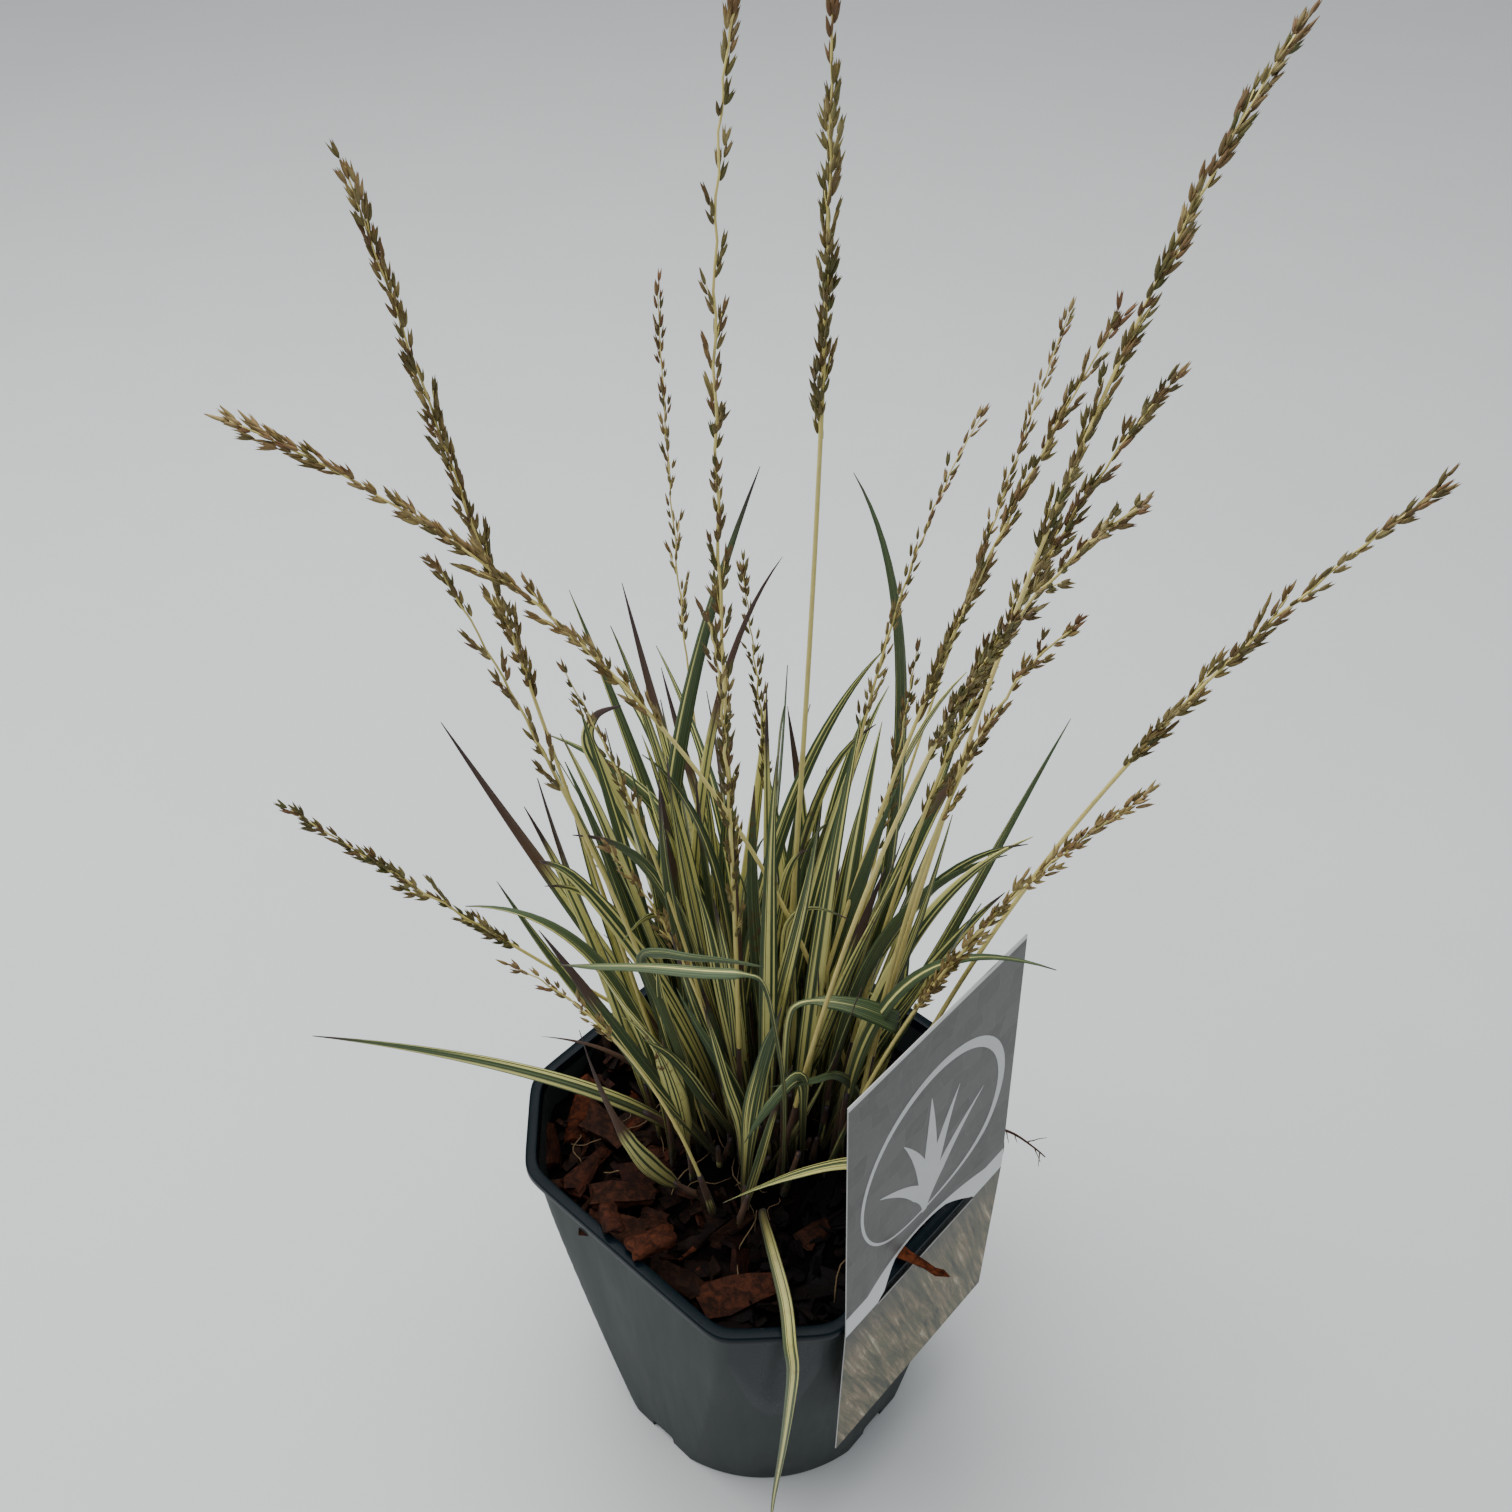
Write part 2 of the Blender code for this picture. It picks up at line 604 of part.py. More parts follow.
make_pot(make_material("pot_plastic", (0.055, 0.07, 0.08), 0.45))
make_medium(make_material("compost", (0.02, 0.012, 0.009), 0.95))
make_crown(make_material("crown_bases", (0.2, 0.17, 0.07), 0.7))
make_label(make_material("label_card", (0.2, 0.2, 0.21), 0.4))
make_blades(make_material("leaf_blade", (0.42, 0.42, 0.17), 0.55))
make_culms(make_material("culm_stem", (0.4, 0.32, 0.12), 0.6))
make_chips(make_material("bark", (0.16, 0.05, 0.025), 0.85))
make_rootlet(make_material("root_fibre", (0.06, 0.03, 0.02), 0.9))
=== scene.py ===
import math
import random

import bmesh
import bpy
from mathutils import Matrix, Vector, noise


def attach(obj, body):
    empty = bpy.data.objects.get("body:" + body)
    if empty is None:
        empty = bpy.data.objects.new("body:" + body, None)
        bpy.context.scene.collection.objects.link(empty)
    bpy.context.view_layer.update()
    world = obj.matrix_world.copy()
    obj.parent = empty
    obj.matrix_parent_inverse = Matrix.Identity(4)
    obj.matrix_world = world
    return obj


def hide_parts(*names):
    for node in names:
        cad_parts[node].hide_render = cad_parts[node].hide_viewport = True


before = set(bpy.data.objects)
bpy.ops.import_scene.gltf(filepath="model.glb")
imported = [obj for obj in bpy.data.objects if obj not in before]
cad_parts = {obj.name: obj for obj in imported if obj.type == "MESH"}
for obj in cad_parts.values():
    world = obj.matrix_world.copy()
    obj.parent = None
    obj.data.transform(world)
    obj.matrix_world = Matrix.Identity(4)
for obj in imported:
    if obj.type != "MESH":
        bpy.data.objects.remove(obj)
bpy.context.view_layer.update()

# Potted purple moor grass. Millimetres below, metres in the scene, the same frame as the solids.
MM = 0.001
UP = Vector((0, 0, 1))

# Camera, fitted to the photograph
CAMERA_PLACE = (-21.2, -365.4, 711.0)
CAMERA_PITCH = 48.1
CAMERA_TURN = -2.81
CAMERA_LENS = 35.95
CAMERA_SENSOR = 36.0

# Pot
POT_HEIGHT = 184.0
RIM_HALF = 85.0
RIM_CUT = 97.5
RIM_DEPTH = 4.0
BODY_HALF_TOP = 82.0
BODY_HALF_BASE = 69.0
BODY_CUT_TOP = 94.5
BODY_CUT_BASE = 74.6
CONE_RADIUS_TOP = 97.0
CONE_RADIUS_BASE = 71.0
POT_WALL = 1.7
POT_FLOOR = 3.0
CORNER_SHARPNESS = 46
POT_COLUMNS = 360
DRAIN_CIRCLE = 42.0
DRAIN_RADIUS = 5.0
NOTCH_WIDTH = 13.0
NOTCH_HEIGHT = 7.0
NOTCH_INNER = 61.0
TAB_WIDTH = 10.0
TAB_HEIGHT = 9.0
TAB_SPACING = 52.0
TAB_THICKNESS = 0.8
TAB_DROP = 5.0

# Growing medium
SOIL_LEVEL = 163.0
LEVEL_RADIUS = 60.0
HEAP_CENTRE = (-58.0, 44.0)
HEAP_RISE = 27.0
HEAP_SPREAD = 17.0
BUMP_START = 18.0
WAVE_RISE = 2.2
WAVE_LENGTH_X = 9.0
WAVE_LENGTH_Y = 11.0
WAVE_START = 1.3
RIPPLE_RISE = 1.6
RIPPLE_LENGTH = 6.5
CROWN_RADIUS = 42.0
CROWN_RISE = 6.5

# Label
LABEL_WIDTH = 98.0
LABEL_LOW = 94.0
LABEL_HIGH = 313.0
LABEL_THICKNESS = 0.5
LABEL_STANDOFF = 86.2
LABEL_LEAN_HIGH = 0.064
LABEL_LEAN_LOW = 0.012
LABEL_SHIFT_LOW = -4.2
LABEL_SHIFT_HIGH = 1.0
SLIT_LOW = 179.6
SLIT_WIDTH = 61.0
SLIT_RISE = 11.0
LIP_TUCK = 4.5
LIP_REACH = 30.0
LIP_MARGIN = 6.0
LIP_START = 1.0
LIP_RAMP = 4.0
LABEL_TURN = -45.0

# The label's printed design: tuft blades as lean, top, bow and width, inside a ring.
PRINT_FOOT = 203.0
PRINT_TUFT = ((-31, 246, 44, 6.5), (-18, 262, 50, 7.0), (-3, 274, 54, 8.0), (14, 266, 52, 7.0),
              (30, 250, 46, 6.5))
PRINT_MIDDLE = 246.0
PRINT_RADIUS = 41.0
PRINT_LINE = 1.9

# Flowering stems: foot x, foot y, heading in degrees, reach, height, bow %, sway,
# and the share of the stem, counted from the tip, that carries spikelets.
CULMS = (
    (-32, 3, 165, 77, 404, 2, 0, 0.42),
    (41, 8, 186, 182, 352, 52, 8, 0.39),
    (-20, -10, 180, 74, 306, 20, 0, 0.30),
    (-12, 0, 190, 51, 267, 30, 0, 0.28),
    (4, 32, 110, 102, 323, -34, 10, 0.40),
    (-4, 8, 105, 11, 443, 80, 19, 0.64),
    (-10, -12, 200, 9, 289, 84, 0, 0.50),
    (6, 14, 60, 22, 440, 48, -12, 0.27),
    (17, 14, 40, 73, 310, 62, 2, 0.38),
    (36, -4, 15, 99, 435, 64, -35, 0.34),
    (6, -5, 20, 101, 355, 32, 0, 0.39),
    (29, 2, 0, 84, 354, 44, 6, 0.50),
    (21, 23, 40, 109, 330, 10, 0, 0.30),
    (4, -20, -45, 102, 372, 50, 25, 0.34),
    (34, -16, -28, 55, 301, 62, 15, 0.33),
    (35, -24, -5, 140, 339, 37, 0, 0.33),
    (24, -19, -20, 89, 242, 34, 0, 0.52),
    (13, 4, 40, 53, 235, -4, -10, 0.36),
    (-10, 35, 190, 152, 194, -4, -3, 0.46),
    (-22, -34, 190, 63, 173, 40, -4, 0.32),
    (-7, -18, 190, 46, 206, 38, -9, 0.36),
    (12, 37, 128, 28, 254, 30, 0, 0.42),
)
SLIM_PANICLES = (4, 5, 9, 13, 18, 20, 21, 22)
GREEN_PANICLES = (6, 7, 8, 10, 12, 14, 18, 19, 22)
TAN_PANICLES = (2, 17, 20, 21)
OPEN_PANICLES = (3, 6, 7, 15)
OPEN_SPREAD = 1.8
SPIKELET_LENGTH = 6.0
SPIKELET_WIDTH = 1.2

# Leaf blades: foot x, foot y, heading in degrees, reach, height, bow %, sway, full width,
# the roll of the face at the foot and at the tip, then in % how green the blade is, how far
# its dead tip reaches down, and how spotted it is.
BLADES = (
    (-27, 26, 178, 82, 213, 6, 2, 6, 10, 30, 45, 75, 10),
    (-4, 26, 140, 82, 232, 2, -4, 6, 20, 10, 75, 0, 0),
    (-14, 12, 150, 41, 249, 40, -6, 5, 15, 30, 60, 5, 0),
    (-4, 14, 112, 86, 193, 38, -14, 6, 0, 40, 60, 0, 0),
    (-24, 2, 165, 46, 221, 26, -3, 6, 10, 30, 40, 10, 10),
    (-18, 40, 165, 40, 200, 0, -4, 7, 0, 10, 30, 40, 10),
    (-38, 7, 40, 48, 305, 0, 42, 7, 10, 0, 95, 15, 0),
    (-26, 14, 50, 55, 259, 56, 22, 4, 30, 10, 50, 75, 30),
    (1, 4, 88, 36, 214, 5, -4, 5, 10, 30, 25, 30, 10),
    (1, -12, 70, 10, 222, 6, 4, 7, -10, 20, 35, 10, 20),
    (-12, 6, 30, 63, 232, 62, 11, 6, 0, 30, 80, 0, 0),
    (34, 18, 95, 40, 290, 60, -34, 5, 30, 20, 90, 10, 0),
    (11, -10, 35, 23, 231, 2, 2, 7, 0, -20, 45, 0, 0),
    (28, -10, 4, 64, 183, 66, 6, 6, 0, 40, 55, 0, 0),
    (24, -2, 5, 61, 166, 84, 0, 6, 20, 50, 60, 10, 0),
    (36, 13, 20, 20, 160, -41, -20, 6, 0, 0, 25, 0, 10),
    (31, -13, -25, 72, 158, 107, -3, 6, -30, -50, 85, 5, 0),
    (8, -16, -6, 32, 112, 150, 2, 9, -10, -25, 75, 0, 0),
    (-38, -11, 181, 66, 166, 98, 2, 6, 20, 50, 75, 5, 0),
    (-33, 15, 178, 64, 146, -5, 0, 5, 20, 20, 55, 10, 10),
    (-43, 2, 168, 39, 190, 20, -2, 6, 10, 30, 40, 30, 20),
    (6, -27, 192, 74, 166, 170, 46, 5, 30, 45, 80, 10, 10),
    (-26, -3, 180, 146, 86, 48, 0, 6, 0, -35, 75, 15, 0),
    (-41, 21, 180, 48, 50, 60, 0, 2, 0, 0, 10, 200, 0),
    (-24, -27, 200, 44, 133, -58, -14, 8, 0, 0, 60, 92, 10),
    (-30, -18, 190, 23, 115, 62, -2, 9, 0, -10, 5, 5, 100),
    (-10, -34, 20, 14, 128, 6, 8, 8, 0, 10, 85, 15, 0),
    (-13, -41, 37, 28, 84, 4, 0, 4, 20, 40, 60, 60, 10),
    (44, -37, 197, 64, 44, 150, -4, 6, 20, 40, 25, 5, 0),
)
# Blades with a shape or a bend of their own, by their place in the list above.
BLADE_SHAPES = {18: "torn", 22: "cut", 25: "stalked", 26: "stalked", 27: "spindle", 29: "spindle"}
BLADE_ROUTES = {
    6: ((-18, 40, 165), (-27, 43, 225), (-35, 45, 270), (-48, 48, 305), (-58, 49, 335),
        (-62, 49, 350), (-58, 49, 361), (-49, 49, 365)),
    18: ((8, -16, 165), (7, -15, 201), (7, -15, 240), (8, -15, 264), (11, -16, 274), (20, -17, 277),
         (34, -19, 275), (48, -21, 268)),
    22: ((6, -27, 165), (6, -34, 207), (5, -40, 256), (1, -46, 299), (-3, -49, 326), (-9, -50, 333),
         (-23, -49, 334), (-41, -47, 335), (-58, -45, 334), (-69, -43, 333)),
}
# More leaves, listed one by one: width, shape, rolls, greenness, dead tip, spots, and the route.
LOOSE_LEAVES = (
    (4.2, "blade", 20, 40, 92, 5, 0, ((-27, -8, 165), (-31, -15, 235), (-40, -27, 300), (-43, -34, 324),
                                    (-37, -38, 331), (-27, -42, 333), (-14, -45, 334), (-3, -48, 334))),
    (4.6, "spindle", 0, 0, 35, 25, 20, ((-9, -26, 176), (-10, -24, 194), (-11, -23, 213),
                                        (-15, -22, 233), (-19, -22, 258), (-24, -22, 288))),
    (3, "blade", 20, 60, 60, 20, 10, ((15, 5, 165), (9, 1, 235), (7, -2, 290), (10, -4, 309),
                                      (18, -7, 316), (29, -10, 313))),
    (4, "spindle", 10, 30, 90, 5, 0, ((36, -6, 165), (39, -8, 195), (34, -14, 220), (26, -20, 236),
                                      (16, -26, 241), (0, -33, 248))),
    (5.5, "spindle", 0, -20, 75, 5, 0, ((15, -14, 165), (14, -22, 215), (13, -27, 240), (9, -31, 249),
                                      (-2, -41, 244), (-10, -46, 232))),
    (5, "spindle", 0, 20, 75, 5, 0, ((-9, -6, 165), (-16, -10, 192), (-24, -14, 216), (-30, -18, 237),
                                     (-37, -22, 256), (-46, -27, 272))),
    (7, "blade", 10, 20, 40, 20, 10, ((-14, 2, 165), (-24, 2, 215), (-38, 1, 265), (-52, -3, 305),
                                      (-66, -8, 338), (-76, -12, 350))),
)
SHAPES = {
    "torn": ((0, 0.35), (0.5, 0.3), (0.66, 0.25), (0.76, 0.62), (0.9, 0.95), (1, 1.0)),
    "cut": ((0, 0.3), (0.55, 0.35), (0.6, 0.9), (0.7, 1.0), (0.85, 0.6), (1, 0.05)),
    "stalked": ((0, 0.2), (0.14, 0.22), (0.24, 0.85), (0.36, 1.0), (0.52, 0.7), (0.68, 0.28), (1, 0.03)),
    "spindle": ((0, 0.3), (0.2, 0.55), (0.48, 1.0), (0.75, 0.7), (1, 0.03)),
}
BENT_BLADE = ((-2, -36, 171), (-3, -46, 182), (-1, -66, 194), (3, -88, 193), (4, -102, 187),
              (5, -106, 176), (4, -107, 150), (2, -106, 110), (-1, -104, 60), (-2, -103, 28))
BENT_BLADE_WIDTH = 5.2
BENT_BLADE_LOOK = (20, 0, 50, 5, 20)
BLADE_ROWS = 26
BLADE_COLUMNS = 6
BLADE_THICKNESS = 0.3
EXTRA_LEAVES = 115
CLUMP_CENTRE = (0.0, 13.0)
CLUMP_RADIUS = 32.0
CLUMP_FRONT = 4.0
STEM_RADIUS = 1.1
STEM_ROWS = 48
STEM_SIDES = 8

# Bark chips on the rim and in the label's slit: x, y, z, length, width, thickness, heading.
RIM_CHIPS = (
    (-46, -58, 186.8, 17, 9, 4, 20),
    (-62, -47, 187.0, 13, 8, 4, 100),
    (54.5, -71.5, 187.0, 24, 5, 3.2, -30),
)
RIM_CHIP_TONES = (0.8, 0.75, 1.0)
SLIT_CHIP = 3
ROOTLET = ((84, -10, 186.5), (93, -13, 187), (101, -17, 187), (108, -23, 186), (112, -27, 185))


def calc(tree, operation, first, second=0.5, third=0.5, clamp=False):
    """One Math node, and its result."""
    node = tree.nodes.new("ShaderNodeMath")
    node.operation = operation
    node.use_clamp = clamp
    for index, value in enumerate((first, second, third)):
        connect(tree, value, node.inputs[index])
    return node.outputs[0]


def connect(tree, value, socket):
    """Join an output to a socket, or set the socket's constant."""
    if isinstance(value, bpy.types.NodeSocket):
        tree.links.new(value, socket)
    else:
        socket.default_value = value


def new_finish(name, roughness, specular=0.5):
    """A material with its Principled shader, ready for its pattern."""
    material = bpy.data.materials.new(name)
    material.use_nodes = True
    tree = material.node_tree
    shader = tree.nodes["Principled BSDF"]
    shader.inputs["Roughness"].default_value = roughness
    shader.inputs["Specular IOR Level"].default_value = specular
    return material, tree, shader


def object_place(tree, scale=(1, 1, 1), turn=(0, 0, 0)):
    """Object coordinates in metres through a Mapping node."""
    source = tree.nodes.new("ShaderNodeTexCoord")
    mapping = tree.nodes.new("ShaderNodeMapping")
    mapping.inputs["Scale"].default_value = scale
    mapping.inputs["Rotation"].default_value = turn
    tree.links.new(source.outputs["Object"], mapping.inputs["Vector"])
    return mapping.outputs["Vector"]


def speckle(tree, vector, scale, detail=3.0, roughness=0.5, distortion=0.0):
    """A noise value between 0 and 1."""
    node = tree.nodes.new("ShaderNodeTexNoise")
    node.inputs["Scale"].default_value = scale
    node.inputs["Detail"].default_value = detail
    node.inputs["Roughness"].default_value = roughness
    node.inputs["Distortion"].default_value = distortion
    tree.links.new(vector, node.inputs["Vector"])
    return node.outputs["Fac"]


def ramp(tree, value, stops, interpolation="LINEAR"):
    """Colours along a value; each stop is (position, colour)."""
    node = tree.nodes.new("ShaderNodeValToRGB")
    node.color_ramp.interpolation = interpolation
    elements = node.color_ramp.elements
    while len(elements) < len(stops):
        elements.new(0.5)
    for element, (position, colour) in zip(elements, stops):
        element.position = position
        element.color = (*colour, 1.0)
    tree.links.new(value, node.inputs["Fac"])
    return node.outputs["Color"]


def mix(tree, share, first, second, mode="MIX"):
    """Two colours mixed by a share."""
    node = tree.nodes.new("ShaderNodeMix")
    node.data_type = "RGBA"
    node.blend_type = mode
    connect(tree, share, node.inputs["Factor"])
    for value, socket in ((first, node.inputs[6]), (second, node.inputs[7])):
        if isinstance(value, tuple):
            value = (*value, 1.0)
        connect(tree, value, socket)
    return node.outputs[2]


def step_up(tree, value, low, high):
    """0 below low, 1 above high, a straight rise between."""
    node = tree.nodes.new("ShaderNodeMapRange")
    node.inputs["From Min"].default_value = low
    node.inputs["From Max"].default_value = high
    tree.links.new(value, node.inputs["Value"])
    return node.outputs["Result"]


def relief(tree, shader, height, strength, distance):
    """Bump from a height value; distance is in metres."""
    node = tree.nodes.new("ShaderNodeBump")
    node.inputs["Strength"].default_value = strength
    node.inputs["Distance"].default_value = distance
    tree.links.new(height, node.inputs["Height"])
    tree.links.new(node.outputs["Normal"], shader.inputs["Normal"])


def piece_uv(tree):
    """Across and along values of a piece's own UV map."""
    node = tree.nodes.new("ShaderNodeUVMap")
    node.uv_map = "UVMap"
    split = tree.nodes.new("ShaderNodeSeparateXYZ")
    tree.links.new(node.outputs["UV"], split.inputs["Vector"])
    return split.outputs["X"], split.outputs["Y"]


def piece_tone(tree):
    """The four values painted on a piece's points."""
    node = tree.nodes.new("ShaderNodeAttribute")
    node.attribute_name = "tone"
    split = tree.nodes.new("ShaderNodeSeparateColor")
    tree.links.new(node.outputs["Color"], split.inputs["Color"])
    return (split.outputs["Red"], split.outputs["Green"], split.outputs["Blue"],
            node.outputs["Alpha"])


def join_vector(tree, x, y, z):
    node = tree.nodes.new("ShaderNodeCombineXYZ")
    for value, socket in zip((x, y, z), node.inputs):
        connect(tree, value, socket)
    return node.outputs["Vector"]


def pot_finish():
    """Moulded plastic: hazy textured walls, smoother rim and corner panels coloured near black as painted
    dark reflection, dirt below.
    """
    material, tree, shader = new_finish("moulded pot plastic", 0.42, 0.07)
    place = object_place(tree)
    split = tree.nodes.new("ShaderNodeSeparateXYZ")
    tree.links.new(place, split.inputs["Vector"])
    height = split.outputs["Z"]
    reach = calc(tree, "MAXIMUM", calc(tree, "ABSOLUTE", split.outputs["X"]),
                 calc(tree, "ABSOLUTE", split.outputs["Y"]))
    slope = (BODY_CUT_TOP - BODY_CUT_BASE) / POT_HEIGHT
    corner_face = calc(tree, "MULTIPLY_ADD", height, slope, BODY_CUT_BASE * MM)
    panel = step_up(tree, calc(tree, "SUBTRACT", reach, corner_face), -0.00065, -0.00045)
    rim = step_up(tree, height, (POT_HEIGHT - RIM_DEPTH - 1.6) * MM, (POT_HEIGHT - RIM_DEPTH - 0.8) * MM)
    # This mask sets both the real smoother finish and the painted dark reflection of the rim and corner
    # panels.
    smooth = calc(tree, "MAXIMUM", panel, rim)
    broad = speckle(tree, place, 14, 4, 0.6)
    fine = speckle(tree, place, 420, 2)
    streaks = speckle(tree, object_place(tree, (1, 1, 0.12)), 90, 4, 0.6)
    wall = mix(tree, broad, (0.022, 0.028, 0.028), (0.033, 0.040, 0.041))
    dusty = mix(tree, calc(tree, "MULTIPLY", step_up(tree, streaks, 0.45, 0.8), 0.3),
                wall, (0.055, 0.062, 0.061))
    # Painted reflection: the rim and corner panels get a near-black colour that stands in for the dark
    # floor they reflect; their lower roughness is real.
    dark_panel_reflection = mix(tree, broad, (0.001, 0.004, 0.006), (0.003, 0.008, 0.012))
    plain = mix(tree, smooth, dusty, dark_panel_reflection)
    low = calc(tree, "SUBTRACT", 1.0, step_up(tree, height, 0.01, 0.085))
    patches = step_up(tree, speckle(tree, place, 46, 5, 0.65), 0.52, 0.66)
    smudge = calc(tree, "MULTIPLY", low, patches)
    dirty = mix(tree, calc(tree, "MULTIPLY", smudge, 0.6), plain, (0.020, 0.022, 0.022))
    specks = calc(tree, "MULTIPLY", step_up(tree, speckle(tree, place, 260, 2), 0.69, 0.72), 0.5)
    tree.links.new(mix(tree, specks, dirty, (0.018, 0.016, 0.014)), shader.inputs["Base Color"])
    gloss = calc(tree, "MULTIPLY_ADD", streaks, 0.3, 0.33)
    polished = calc(tree, "MULTIPLY_ADD", streaks, 0.16, 0.20)
    roughness = calc(tree, "ADD", calc(tree, "MULTIPLY", gloss, calc(tree, "SUBTRACT", 1.0, smooth)),
                     calc(tree, "MULTIPLY", polished, smooth))
    tree.links.new(roughness, shader.inputs["Roughness"])
    relief(tree, shader, calc(tree, "ADD", calc(tree, "MULTIPLY", broad, 0.6), fine), 0.12, 0.0002)
    return material


def compost_finish():
    """Compost with crumbs and fibre, darkened to near black: partly its own dark colour, partly painted
    shade.
    """
    material, tree, shader = new_finish("dark compost", 0.95, 0.05)
    place = object_place(tree)
    broad = speckle(tree, place, 60, 5, 0.65)
    crumbs = speckle(tree, place, 420, 4, 0.7)
    # Painted shade: this ramp runs near black, darker than the compost itself, for the shade inside the
    # pot.
    colour = ramp(tree, broad, ((0.3, (0.0006, 0.0004, 0.0004)), (0.55, (0.0022, 0.0013, 0.001)),
                                (0.75, (0.009, 0.004, 0.0025))))
    specks = step_up(tree, crumbs, 0.62, 0.78)
    tree.links.new(mix(tree, calc(tree, "MULTIPLY", specks, 0.3), colour, (0.03, 0.013, 0.007)),
                   shader.inputs["Base Color"])
    relief(tree, shader, crumbs, 0.9, 0.0012)
    return material


def bark_finish():
    """Red-brown bark, each chip with its own tone, grained along its length. On the loose chips the tone
    also carries painted light and shade.
    """
    material, tree, shader = new_finish("red brown bark", 0.75, 0.12)
    tone, dark, pale, _ = piece_tone(tree)
    place = object_place(tree)
    grain = speckle(tree, object_place(tree, (1, 1, 3)), 260, 5, 0.65, 0.6)
    broad = speckle(tree, place, 70, 4, 0.6)
    # The first tone value runs from near black, painted shade, to red, painted light on the lit loose
    # chips.
    red = ramp(tree, tone, ((0.0, (0.002, 0.0008, 0.0007)), (0.45, (0.011, 0.003, 0.0016)),
                            (0.75, (0.050, 0.011, 0.004)), (1.0, (0.19, 0.045, 0.013))))
    # Painted highlight: the third value paints a paler brown on the lit loose chips, and some real wear on
    # the chosen chips.
    wear_and_light = mix(tree, calc(tree, "MULTIPLY", pale, 0.8), red, (0.13, 0.060, 0.030))
    lined = mix(tree, step_up(tree, grain, 0.42, 0.68), mix(tree, 0.75, wear_and_light, (0, 0, 0)), wear_and_light)
    patched = mix(tree, calc(tree, "MULTIPLY", step_up(tree, broad, 0.5, 0.7), 0.55), lined,
                  (0.003, 0.0015, 0.001))
    # Painted shade: the second value darkens the loose chips that lie away from the light.
    tree.links.new(mix(tree, calc(tree, "MULTIPLY", dark, 0.85), patched, (0.002, 0.001, 0.001)),
                   shader.inputs["Base Color"])
    relief(tree, shader, grain, 0.8, 0.0008)
    return material


